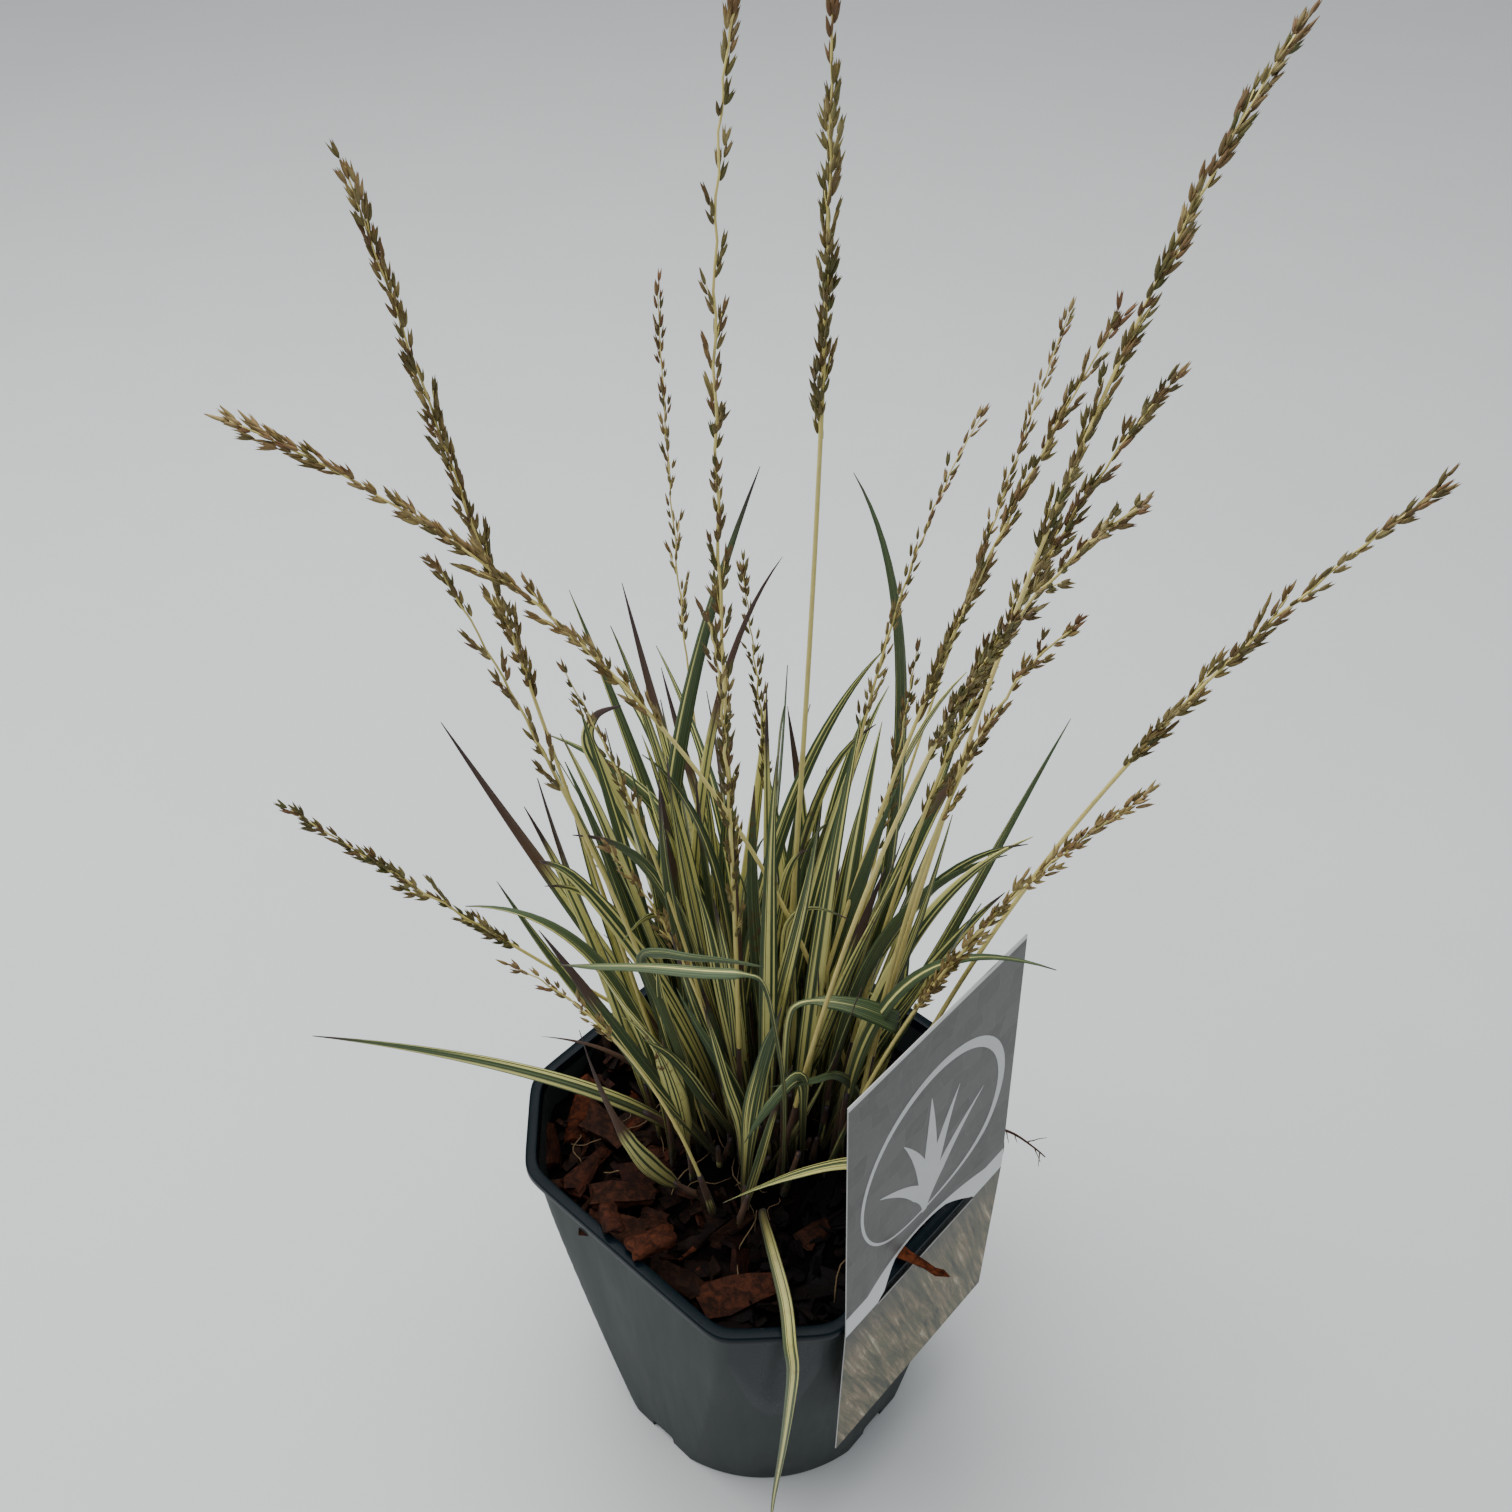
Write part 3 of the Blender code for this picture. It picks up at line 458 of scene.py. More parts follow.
def leaf_finish():
    """Cream-yellow blade with green stripes, brown tip, ribs and spots.
    The tone's values are the blade's seed, greenness, dead tip and spots."""
    material, tree, shader = new_finish("striped leaf", 0.5, 0.35)
    across, along = piece_uv(tree)
    seed, green, brown, spots = piece_tone(tree)
    offset = calc(tree, "MULTIPLY", seed, 61.0)
    lanes = join_vector(tree, calc(tree, "MULTIPLY_ADD", across, 5.8, offset),
                        calc(tree, "MULTIPLY", along, 0.35), offset)
    threads = join_vector(tree, calc(tree, "MULTIPLY_ADD", across, 17.0, offset),
                          calc(tree, "MULTIPLY", along, 0.5), offset)
    veins = join_vector(tree, calc(tree, "MULTIPLY", across, 55.0),
                        calc(tree, "MULTIPLY", along, 1.5), offset)
    lane = speckle(tree, lanes, 1.0, 1.0, 0.4)
    thread = speckle(tree, threads, 1.0, 1.0, 0.4)
    vein = speckle(tree, veins, 1.0, 0.0)
    bias = calc(tree, "MULTIPLY_ADD", green, 0.24, -0.105)
    upper = calc(tree, "MULTIPLY", step_up(tree, along, 0.35, 1.0), 0.10)
    edge = calc(tree, "ABSOLUTE", calc(tree, "SUBTRACT", across, 0.5))
    margin = calc(tree, "MULTIPLY", step_up(tree, edge, 0.33, 0.46), 0.05)
    total = calc(tree, "ADD", calc(tree, "ADD", calc(tree, "ADD", lane, bias), upper), margin)
    total = calc(tree, "ADD", total, calc(tree, "MULTIPLY_ADD", thread, 0.24, -0.12))
    striped = step_up(tree, total, 0.50, 0.535)
    hue = speckle(tree, join_vector(tree, offset, along, 0.0), 1.7, 1.0)
    cream = mix(tree, hue, (0.66, 0.60, 0.15), (0.78, 0.75, 0.32))
    pale_foot = mix(tree, step_up(tree, along, 0.0, 0.35), (0.46, 0.40, 0.10), cream)
    deep = mix(tree, step_up(tree, along, 0.0, 0.4), (0.085, 0.105, 0.024), (0.027, 0.052, 0.018))
    leafy = mix(tree, hue, deep, (0.044, 0.078, 0.034))
    hairline = calc(tree, "MULTIPLY", step_up(tree, speckle(tree, threads, 1.9, 0.0), 0.60, 0.66), 0.35)
    leafy = mix(tree, hairline, leafy, (0.33, 0.37, 0.17))
    body = mix(tree, striped, pale_foot, leafy)
    body = mix(tree, calc(tree, "MULTIPLY", step_up(tree, vein, 0.5, 0.72), 0.22), body,
               (0.14, 0.17, 0.035))
    tip_from = calc(tree, "MULTIPLY_ADD", brown, -0.5, 0.97)
    tip = calc(tree, "DIVIDE", calc(tree, "SUBTRACT", along, tip_from), 0.08, clamp=True)
    ragged = calc(tree, "MULTIPLY", tip, step_up(tree, calc(tree, "ADD", thread, tip), 0.45, 0.9))
    tip_colour = mix(tree, step_up(tree, along, 0.7, 1.0), (0.10, 0.055, 0.035),
                     (0.035, 0.022, 0.025))
    tipped = mix(tree, ragged, body, tip_colour)
    dots = speckle(tree, object_place(tree, (1, 1, 0.6)), 330, 3, 0.6)
    patch = step_up(tree, speckle(tree, object_place(tree), 38, 2), 0.38, 0.56)
    spotted = calc(tree, "MULTIPLY", step_up(tree, dots, 0.54, 0.62), patch)
    rust = calc(tree, "MULTIPLY", spotted, calc(tree, "MULTIPLY_ADD", spots, 1.1, 0.04, clamp=True),
                clamp=True)
    # Painted shade: leaves are darkened towards a dark brown near their feet, low by the compost.
    split = tree.nodes.new("ShaderNodeSeparateXYZ")
    tree.links.new(object_place(tree), split.inputs["Vector"])
    near_soil = calc(tree, "SUBTRACT", 1.0, step_up(tree, split.outputs["Z"], 0.176, 0.255))
    near_foot = calc(tree, "SUBTRACT", 1.0, step_up(tree, along, 0.15, 0.6))
    painted_foot_shade = calc(tree, "MULTIPLY", calc(tree, "MULTIPLY", near_soil, near_foot), 0.9)
    tipped = mix(tree, painted_foot_shade, tipped, (0.020, 0.014, 0.005))
    tree.links.new(mix(tree, rust, tipped, (0.12, 0.055, 0.02)), shader.inputs["Base Color"])
    shader.inputs["Sheen Weight"].default_value = 0.05
    relief(tree, shader, vein, 0.5, 0.0002)
    return material


def stem_finish():
    """Smooth straw-yellow stem, greener or browner from stem to stem, with fine lines."""
    material, tree, shader = new_finish("straw stem", 0.45, 0.4)
    across, along = piece_uv(tree)
    seed, green, brown, spots = piece_tone(tree)
    place = object_place(tree, (1, 1, 0.2))
    grain = speckle(tree, place, 900, 3)
    broad = speckle(tree, object_place(tree), 45, 3)
    straw = mix(tree, broad, (0.62, 0.50, 0.14), (0.74, 0.64, 0.26))
    fresh = mix(tree, calc(tree, "MULTIPLY", green, 0.8), straw, (0.24, 0.27, 0.05))
    brownish = mix(tree, calc(tree, "MULTIPLY", brown, 0.7), fresh, (0.20, 0.12, 0.05))
    lined = mix(tree, calc(tree, "MULTIPLY", step_up(tree, grain, 0.5, 0.75), 0.35), brownish,
                (0.25, 0.22, 0.08))
    tree.links.new(lined, shader.inputs["Base Color"])
    relief(tree, shader, grain, 0.3, 0.0002)
    return material


def spikelet_finish():
    """Olive-brown scales with paler edges and purple-brown tips."""
    material, tree, shader = new_finish("spikelet scales", 0.6, 0.3)
    across, along = piece_uv(tree)
    seed, green, brown, spots = piece_tone(tree)
    place = object_place(tree)
    broad = speckle(tree, place, 90, 3)
    scale_lines = speckle(tree, join_vector(tree, calc(tree, "MULTIPLY", across, 14.0), along, seed),
                          1.0, 1.0)
    olive = ramp(tree, seed, ((0.0, (0.085, 0.072, 0.020)), (0.4, (0.155, 0.118, 0.034)),
                              (0.7, (0.26, 0.185, 0.060)), (1.0, (0.42, 0.30, 0.12))))
    greener = mix(tree, calc(tree, "MULTIPLY", green, 0.72), olive, (0.068, 0.088, 0.024))
    redder = mix(tree, calc(tree, "MULTIPLY", brown, 0.75), greener, (0.20, 0.075, 0.045))
    shaded = mix(tree, calc(tree, "MULTIPLY", step_up(tree, scale_lines, 0.42, 0.66), 0.55), redder,
                 (0.045, 0.034, 0.013))
    edge = mix(tree, calc(tree, "MULTIPLY", step_up(tree, broad, 0.52, 0.7), 0.4), shaded,
               (0.50, 0.41, 0.18))
    tipped = mix(tree, calc(tree, "MULTIPLY", step_up(tree, along, 0.66, 1.0), 0.5), edge,
                 (0.11, 0.052, 0.03))
    tree.links.new(tipped, shader.inputs["Base Color"])
    relief(tree, shader, scale_lines, 0.4, 0.0003)
    return material


def root_finish(name, dark, light):
    """Rough fibre, used for the rootlet and the loose threads."""
    material, tree, shader = new_finish(name, 0.9, 0.2)
    place = object_place(tree)
    grain = speckle(tree, place, 700, 4, 0.7)
    tree.links.new(mix(tree, grain, dark, light), shader.inputs["Base Color"])
    relief(tree, shader, grain, 0.8, 0.0004)
    return material


def label_finish():
    """Printed card: a grey quilted field, a white band, and a blurred meadow below, darkened towards the
    slit as painted shade.
    Across and along run from 0 to 1 over the card's width and height."""
    material, tree, shader = new_finish("printed card", 0.45, 0.3)
    across, along = piece_uv(tree)
    wide = calc(tree, "MULTIPLY", across, 0.48)
    sheet = join_vector(tree, wide, along, 0.0)
    quilt = tree.nodes.new("ShaderNodeTexBrick")
    quilt.offset = 0.5
    for name, value in (("Scale", 9.5), ("Mortar Size", 0.006), ("Mortar Smooth", 1.0),
                        ("Brick Width", 0.62), ("Row Height", 0.40), ("Bias", 0.0)):
        quilt.inputs[name].default_value = value
    quilt.inputs["Color1"].default_value = (0.072, 0.071, 0.069, 1)
    quilt.inputs["Color2"].default_value = (0.102, 0.101, 0.098, 1)
    quilt.inputs["Mortar"].default_value = (0.150, 0.148, 0.144, 1)
    wobble = speckle(tree, sheet, 6.0, 2)
    bent = join_vector(tree, calc(tree, "MULTIPLY_ADD", wobble, 0.10, wide),
                       calc(tree, "MULTIPLY_ADD", wobble, 0.07, along), 0.0)
    tree.links.new(bent, quilt.inputs["Vector"])
    mottle = speckle(tree, sheet, 55, 4, 0.65)
    field = mix(tree, calc(tree, "MULTIPLY", step_up(tree, mottle, 0.45, 0.7), 0.35),
                quilt.outputs["Color"], (0.13, 0.129, 0.126))
    blades = join_vector(tree, calc(tree, "MULTIPLY_ADD", along, 0.42, wide),
                         calc(tree, "MULTIPLY", along, 0.09), 0.0)
    grass = speckle(tree, blades, 62, 4, 0.7, 0.5)
    tufts = speckle(tree, sheet, 14, 3, 0.6, 0.4)
    meadow = ramp(tree, grass, ((0.34, (0.030, 0.034, 0.024)), (0.46, (0.10, 0.09, 0.055)),
                                (0.58, (0.22, 0.165, 0.10)), (0.70, (0.46, 0.40, 0.28))))
    olive = mix(tree, step_up(tree, tufts, 0.42, 0.62), meadow, (0.085, 0.10, 0.05))
    meadow = mix(tree, 0.45, meadow, olive)
    # Painted shade: the meadow darkens to a dark grey towards the slit, where the card bends in to the rim.
    painted_slit_shade = calc(tree, "MULTIPLY", step_up(tree, along, 0.27, 0.40), 0.7)
    painted_slit_shade = mix(tree, painted_slit_shade, meadow, (0.055, 0.058, 0.056))
    band_low = step_up(tree, along, 0.398, 0.400)
    with_band = mix(tree, band_low, painted_slit_shade, (0.62, 0.63, 0.64))
    field_low = step_up(tree, along, 0.452, 0.454)
    printed = mix(tree, field_low, with_band, field)
    top_line = step_up(tree, along, 0.990, 0.993)
    printed = mix(tree, top_line, printed, (0.6, 0.6, 0.6))
    tree.links.new(printed, shader.inputs["Base Color"])
    relief(tree, shader, mottle, 0.05, 0.0002)
    return material


def print_finish():
    """Pale ink of the label's design."""
    material, tree, shader = new_finish("pale ink", 0.4, 0.4)
    grain = speckle(tree, object_place(tree), 160, 4, 0.7)
    tree.links.new(mix(tree, grain, (0.46, 0.47, 0.48), (0.56, 0.57, 0.58)),
                   shader.inputs["Base Color"])
    return material


def card_edge_finish():
    material, tree, shader = new_finish("bare card", 0.6, 0.3)
    grain = speckle(tree, object_place(tree), 300, 4, 0.7)
    tree.links.new(mix(tree, grain, (0.30, 0.30, 0.29), (0.42, 0.42, 0.41)),
                   shader.inputs["Base Color"])
    return material


def floor_finish():
    material, tree, shader = new_finish("pale floor", 0.75, 0.25)
    place = object_place(tree)
    broad = speckle(tree, place, 5, 4, 0.6)
    tree.links.new(mix(tree, broad, (0.60, 0.62, 0.62), (0.66, 0.67, 0.67)),
                   shader.inputs["Base Color"])
    relief(tree, shader, speckle(tree, place, 90, 3), 0.08, 0.001)
    return material


def tidy_mesh(bm):
    """Merge seams and turn every face outwards."""
    bmesh.ops.remove_doubles(bm, verts=bm.verts, dist=0.000005)
    bmesh.ops.recalc_face_normals(bm, faces=bm.faces)


def make_piece(name, bm, materials, nodes=(), sharp=None):
    """Put a finished bmesh in the scene as a piece of the object."""
    mesh = bpy.data.meshes.new(name)
    bm.to_mesh(mesh)
    bm.free()
    for material in materials:
        mesh.materials.append(material)
    mesh.shade_smooth()
    if sharp:
        mesh.set_sharp_from_angle(angle=math.radians(sharp))
    piece = bpy.data.objects.new(name, mesh)
    bpy.context.scene.collection.objects.link(piece)
    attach(piece, "root")
    if nodes:
        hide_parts(*nodes)
    return piece


def toned_mesh():
    """A new bmesh with a UV map and four tone values on its points."""
    bm = bmesh.new()
    bm.loops.layers.uv.new("UVMap")
    bm.verts.layers.float_color.new("tone")
    return bm


def paint(bm, verts, tone):
    """Give these points their tone: up to four values, the rest 0."""
    layer = bm.verts.layers.float_color["tone"]
    for vert in verts:
        vert[layer] = (*tone, 0.0)[:4]


def pot_radius(angle, half, cut, cone):
    """Distance of a chamfered square's wall, its corners rounded, cut down by a cone."""
    total = 0.0
    for index in range(8):
        facing = math.cos(angle - index * math.pi / 4)
        if facing > 0.3:
            distance = (cut if index % 2 == 0 else half) / facing
            total += distance ** -CORNER_SHARPNESS
    return min(total ** (-1 / CORNER_SHARPNESS), cone)


def wall_radius(angle, z, inset=0.0):
    share = z / POT_HEIGHT
    half = BODY_HALF_BASE + (BODY_HALF_TOP - BODY_HALF_BASE) * share
    cut = BODY_CUT_BASE + (BODY_CUT_TOP - BODY_CUT_BASE) * share
    cone = CONE_RADIUS_BASE + (CONE_RADIUS_TOP - CONE_RADIUS_BASE) * share
    return pot_radius(angle, half, cut, cone) - inset


def rim_radius(angle, inset=0.0):
    return pot_radius(angle, RIM_HALF - inset, RIM_CUT - inset, 200.0)


def pot_rings():
    """The pot's section from the middle of its underside, over the rim, to the inner floor.
    Each ring is (z, kind, inset): a body ring, a rim ring, or a scaled base ring."""
    rings = [(0.0, "disc", 0.25), (0.0, "disc", 0.6), (0.0, "body", 6.0)]
    rings += [(0.0, "body", 1.4), (0.25, "body", 0.6), (0.8, "body", 0.12), (1.6, "body", 0.0)]
    rings += [(z, "body", 0.0) for z in range(4, 176, 4)]
    skirt = POT_HEIGHT - RIM_DEPTH
    rings += [(skirt - 1.2, "body", 0.0), (skirt - 0.5, "body", -0.25), (skirt - 0.1, "body", -0.9)]
    rings += [(skirt, "rim", 1.2), (skirt, "rim", 0.35), (skirt + 0.3, "rim", 0.08)]
    rings += [(skirt + 1.0, "rim", 0.0), (POT_HEIGHT - 1.1, "rim", 0.0)]
    rings += [(POT_HEIGHT - 0.45, "rim", 0.12), (POT_HEIGHT - 0.12, "rim", 0.45)]
    rings += [(POT_HEIGHT, "rim", 1.0), (POT_HEIGHT - 0.06, "rim", 2.4), (POT_HEIGHT, "rim", 3.8)]
    rings += [(POT_HEIGHT - 0.15, "rim", 4.4), (POT_HEIGHT - 0.7, "body", POT_WALL - 0.15)]
    rings += [(POT_HEIGHT - 2.0, "body", POT_WALL), (POT_HEIGHT - 5.0, "body", POT_WALL)]
    rings += [(z, "body", POT_WALL) for z in (170, 150, 120, 90, 60, 30, 10)]
    rings += [(POT_FLOOR + 1.0, "body", POT_WALL + 0.2), (POT_FLOOR, "body", POT_WALL + 1.2)]
    rings += [(POT_FLOOR, "disc", 0.6), (POT_FLOOR, "disc", 0.25)]
    return rings


def ring_distance(angle, ring):
    z, kind, inset = ring
    if kind == "rim":
        return rim_radius(angle, inset)
    if kind == "disc":
        return CONE_RADIUS_BASE * inset
    return wall_radius(angle, z, inset)


def cut_away(piece, cutters):
    """Boolean the cutters out of a mesh object for good."""
    for cutter in cutters:
        modifier = piece.modifiers.new("cut", "BOOLEAN")
        modifier.object = cutter
        modifier.operation = "DIFFERENCE"
        modifier.solver = "EXACT"
    bpy.context.view_layer.update()
    evaluated = piece.evaluated_get(bpy.context.evaluated_depsgraph_get())
    bm = bmesh.new()
    bm.from_mesh(evaluated.to_mesh())
    for cutter in cutters:
        bpy.data.objects.remove(cutter)
    bpy.data.objects.remove(piece)
    return bm


def loose_object(name, bm):
    mesh = bpy.data.meshes.new(name)
    bm.to_mesh(mesh)
    bm.free()
    piece = bpy.data.objects.new(name, mesh)
    bpy.context.scene.collection.objects.link(piece)
    return piece


def make_pot(material):
    """The thin-walled pot with its rounded rim, drainage holes and corner notches."""
    bm = bmesh.new()
    rings = pot_rings()
    bmesh.ops.create_circle(bm, segments=POT_COLUMNS, radius=1.0)
    loop = list(bm.verts)
    angles = [math.atan2(vert.co.y, vert.co.x) for vert in loop]
    edges = list(bm.edges)
    first = list(loop)
    for index, ring in enumerate(rings):
        if index:
            grown = bmesh.ops.extrude_edge_only(bm, edges=edges)["geom"]
            edges = [item for item in grown if isinstance(item, bmesh.types.BMEdge)
                     and not any(vert in loop for vert in item.verts)]
            fresh = [item for item in grown if isinstance(item, bmesh.types.BMVert)]
            fresh.sort(key=lambda vert: math.atan2(vert.co.y, vert.co.x))
            order = sorted(range(len(loop)), key=lambda place: angles[place])
            loop = fresh
            angles = [angles[place] for place in order]
            edges = list({edge for vert in loop for edge in vert.link_edges
                          if edge.other_vert(vert) in fresh})
        for vert, angle in zip(loop, angles):
            distance = ring_distance(angle, ring)
            vert.co = Vector((math.cos(angle) * distance, math.sin(angle) * distance, ring[0])) * MM
    for ends in (first, loop):
        bmesh.ops.contextual_create(bm, geom=ends)
    tidy_mesh(bm)
    blank = loose_object("pot_blank", bm)
    cutters = []
    for turn in (0, 90, 180, 270):
        cut = bmesh.new()
        place = Matrix.Rotation(math.radians(turn), 4, "Z") @ Matrix.Translation(
            (DRAIN_CIRCLE * MM, 0, POT_FLOOR / 2 * MM))
        bmesh.ops.create_cone(cut, cap_ends=True, segments=40, radius1=DRAIN_RADIUS * MM,
                              radius2=DRAIN_RADIUS * MM, depth=(POT_FLOOR + 4) * MM, matrix=place)
        cutters.append(loose_object("drain_cutter", cut))
    for turn in (45, 135, 225, 315):
        cut = bmesh.new()
        length = BODY_HALF_TOP - NOTCH_INNER
        place = Matrix.Rotation(math.radians(turn), 4, "Z") @ Matrix.Translation(
            ((NOTCH_INNER + length / 2) * MM, 0, 0))
        bmesh.ops.create_cube(cut, size=MM, matrix=place @ Matrix.Diagonal(
            (length, NOTCH_WIDTH, 2 * NOTCH_HEIGHT, 1)))
        upright = [edge for edge in cut.edges
                   if abs((edge.verts[0].co - edge.verts[1].co).normalized().z) < 0.1
                   and edge.calc_length() > 0.9 * length * MM]
        bmesh.ops.bevel(cut, geom=upright, offset=1.6 * MM, segments=4, profile=0.5,
                        affect="EDGES", material=-1)
        cutters.append(loose_object("notch_cutter", cut))
    bm = cut_away(blank, cutters)
    add_tabs(bm)
    return make_piece("plant_pot", bm, [material], ["pot"], 34)


def add_tabs(bm):
    """Small raised frames inside two sides, just under the rim."""
    for turn in (45, 225):
        for side in (-1, 1):
            middle = Matrix.Rotation(math.radians(turn), 4, "Z") @ Matrix.Translation(
                Vector((RIM_HALF - 5.2, side * TAB_SPACING / 2, POT_HEIGHT - TAB_DROP - 4.2)) * MM)
            for along, z, wide, high in ((-TAB_WIDTH / 2, 0, 1.0, TAB_HEIGHT),
                                         (TAB_WIDTH / 2, 0, 1.0, TAB_HEIGHT),
                                         (0, -TAB_HEIGHT / 2, TAB_WIDTH, 1.0)):
                place = middle @ Matrix.Translation(Vector((0, along, z)) * MM)
                start = len(bm.verts)
                made = bmesh.ops.create_cube(bm, size=MM, matrix=place @ Matrix.Diagonal(
                    (2 * TAB_THICKNESS, wide, high, 1)))
                edges = list({edge for vert in made["verts"] for edge in vert.link_edges})
                bmesh.ops.bevel(bm, geom=edges, offset=0.25 * MM, segments=2, profile=0.5,
                                affect="EDGES", material=-1)


def ground(x, y):
    """Height of the growing medium, as in the solids."""
    radius = math.hypot(x, y)
    edge = min(1.0, max(0.0, (radius - LEVEL_RADIUS) / BUMP_START))
    waves = WAVE_RISE * math.sin(x / WAVE_LENGTH_X + WAVE_START) * math.cos(y / WAVE_LENGTH_Y)
    ripples = RIPPLE_RISE * math.sin((x + y) / RIPPLE_LENGTH)
    heap_distance = math.hypot(x - HEAP_CENTRE[0], y - HEAP_CENTRE[1])
    heap = HEAP_RISE * math.exp(-(heap_distance / HEAP_SPREAD) ** 2)
    return SOIL_LEVEL + edge * (waves + ripples + heap)


def rough_ground(x, y):
    """The ground with its crumbs, and its low mound under the clump."""
    place = Vector((x, y, 0))
    crumbs = 1.6 * noise.noise(place * 0.16) + 1.1 * noise.noise(place * 0.42 + Vector((9, 3, 1)))
    crumbs += 0.5 * abs(noise.noise(place * 1.1))
    radius = math.hypot(x, y)
    mound = CROWN_RISE * max(0.0, 1 - (radius / (CROWN_RADIUS + 6)) ** 4)
    return ground(x, y) + crumbs - 0.8 + 0.8 * mound


def make_medium(material):
    """The compost as one closed body with a crumbly top."""
    bm = bmesh.new()
    bmesh.ops.create_grid(bm, x_segments=120, y_segments=120, size=1.0)
    for vert in bm.verts:
        x, y = vert.co.x, vert.co.y
        reach = max(abs(x), abs(y))
        length = math.hypot(x, y)
        if length > 0:
            angle = math.atan2(y, x)
            distance = reach * (wall_radius(angle, SOIL_LEVEL + 8) - POT_WALL - 0.35)
            x, y = math.cos(angle) * distance, math.sin(angle) * distance
        vert.co = Vector((x, y, rough_ground(x, y))) * MM
    rim = [edge for edge in bm.edges if edge.is_boundary]
    grown = bmesh.ops.extrude_edge_only(bm, edges=rim)["geom"]
    low = [item for item in grown if isinstance(item, bmesh.types.BMVert)]
    for vert in low:
        angle = math.atan2(vert.co.y, vert.co.x)
        distance = wall_radius(angle, POT_FLOOR, POT_WALL + 0.6)
        vert.co = Vector((math.cos(angle) * distance, math.sin(angle) * distance, POT_FLOOR + 0.4)) * MM
    bottom = [edge for edge in bm.edges if edge.is_boundary]
    bmesh.ops.contextual_create(bm, geom=bottom)
    tidy_mesh(bm)
    return make_piece("compost", bm, [material], ["growing_medium", "crown"])


def chip_shape(rng):
    """One bark chip of unit length as a mesh: a bevelled block, bent, tapered and roughened."""
    bm = bmesh.new()
    bmesh.ops.create_cube(bm, size=1.0)
    bmesh.ops.subdivide_edges(bm, edges=list(bm.edges), cuts=2, use_grid_fill=True)
    taper = rng.uniform(0.1, 0.6)
    skew = rng.uniform(-0.35, 0.35)
    curl = rng.uniform(-0.5, 0.8)
    shift = Vector((rng.uniform(0, 50), rng.uniform(0, 50), rng.uniform(0, 50)))
    for vert in bm.verts:
        x, y, z = vert.co
        y *= 1 - taper * (x + 0.5)
        y += skew * x * 0.5
        z *= 1 - 0.45 * (abs(vert.co.x) * 2) ** 2 - 0.25 * (abs(vert.co.y) * 2) ** 2
        z += curl * (vert.co.y ** 2) * 1.2
        ragged = noise.noise_vector(Vector((x, y, z)) * 2.6 + shift)
        vert.co = Vector((x, y, z)) + Vector((ragged.x * 0.16, ragged.y * 0.2, ragged.z * 0.16))
    bmesh.ops.recalc_face_normals(bm, faces=bm.faces)
    mesh = bpy.data.meshes.new("chip_shape")
    bm.to_mesh(mesh)
    bm.free()
    return mesh


def stamp(bm, template, matrix, tone):
    """Add a copy of a template mesh to a bmesh, in its place and with its tone."""
    colours = template.attributes.get("tone") or template.attributes.new("tone", "FLOAT_COLOR", "POINT")
    colours.data.foreach_set("color", (*tone, 0.0)[:4] * len(template.vertices))
    template.transform(matrix)
    bm.from_mesh(template)
    template.transform(matrix.inverted())


def chip_matrix(x, y, z, length, width, thickness, heading, tilt=0.0, roll=0.0):
    turn = (Matrix.Rotation(math.radians(heading), 4, "Z") @ Matrix.Rotation(math.radians(tilt), 4, "Y")
            @ Matrix.Rotation(math.radians(roll), 4, "X"))
    size = Matrix.Diagonal((length * MM, width * MM, thickness * MM, 1))
    return Matrix.Translation(Vector((x, y, z)) * MM) @ turn @ size


def inside_pot(x, y, margin):
    return math.hypot(x, y) < wall_radius(math.atan2(y, x), SOIL_LEVEL) - POT_WALL - margin


# Bark chips seen in the pot: x, y, lift, length, width, thickness, heading, tilt, roll, redness.
KEY_CHIPS = (
    (-76, 17, 5, 26, 11, 5, 80, -30, 20, 0.85),
    (-89, 2, 4, 18, 10, 5, 100, -10, 60, 0.75),
    (-48, -14, 3, 24, 13, 5, 15, 5, 10, 0.6),
    (-62, -39, 4, 26, 12, 6, -20, -5, 20, 0.7),
    (-52, -41, 5, 22, 11, 5, 30, 10, -15, 0.65),
    (-12, -70, 4, 30, 15, 6, 10, -8, 15, 0.8),
    (18, -45, 3, 14, 9, 4, 40, 5, 5, 0.75),
    (-74, -12, 5, 24, 10, 6, 55, 8, 10, 0.75),
    (-66, 6, 6, 22, 12, 6, -40, 0, 25, 0.65),
    (-58, -26, 6, 25, 12, 6, 5, 5, -10, 0.7),
    (-38, -62, 4, 22, 10, 5, -35, 0, 0, 0.5),
)


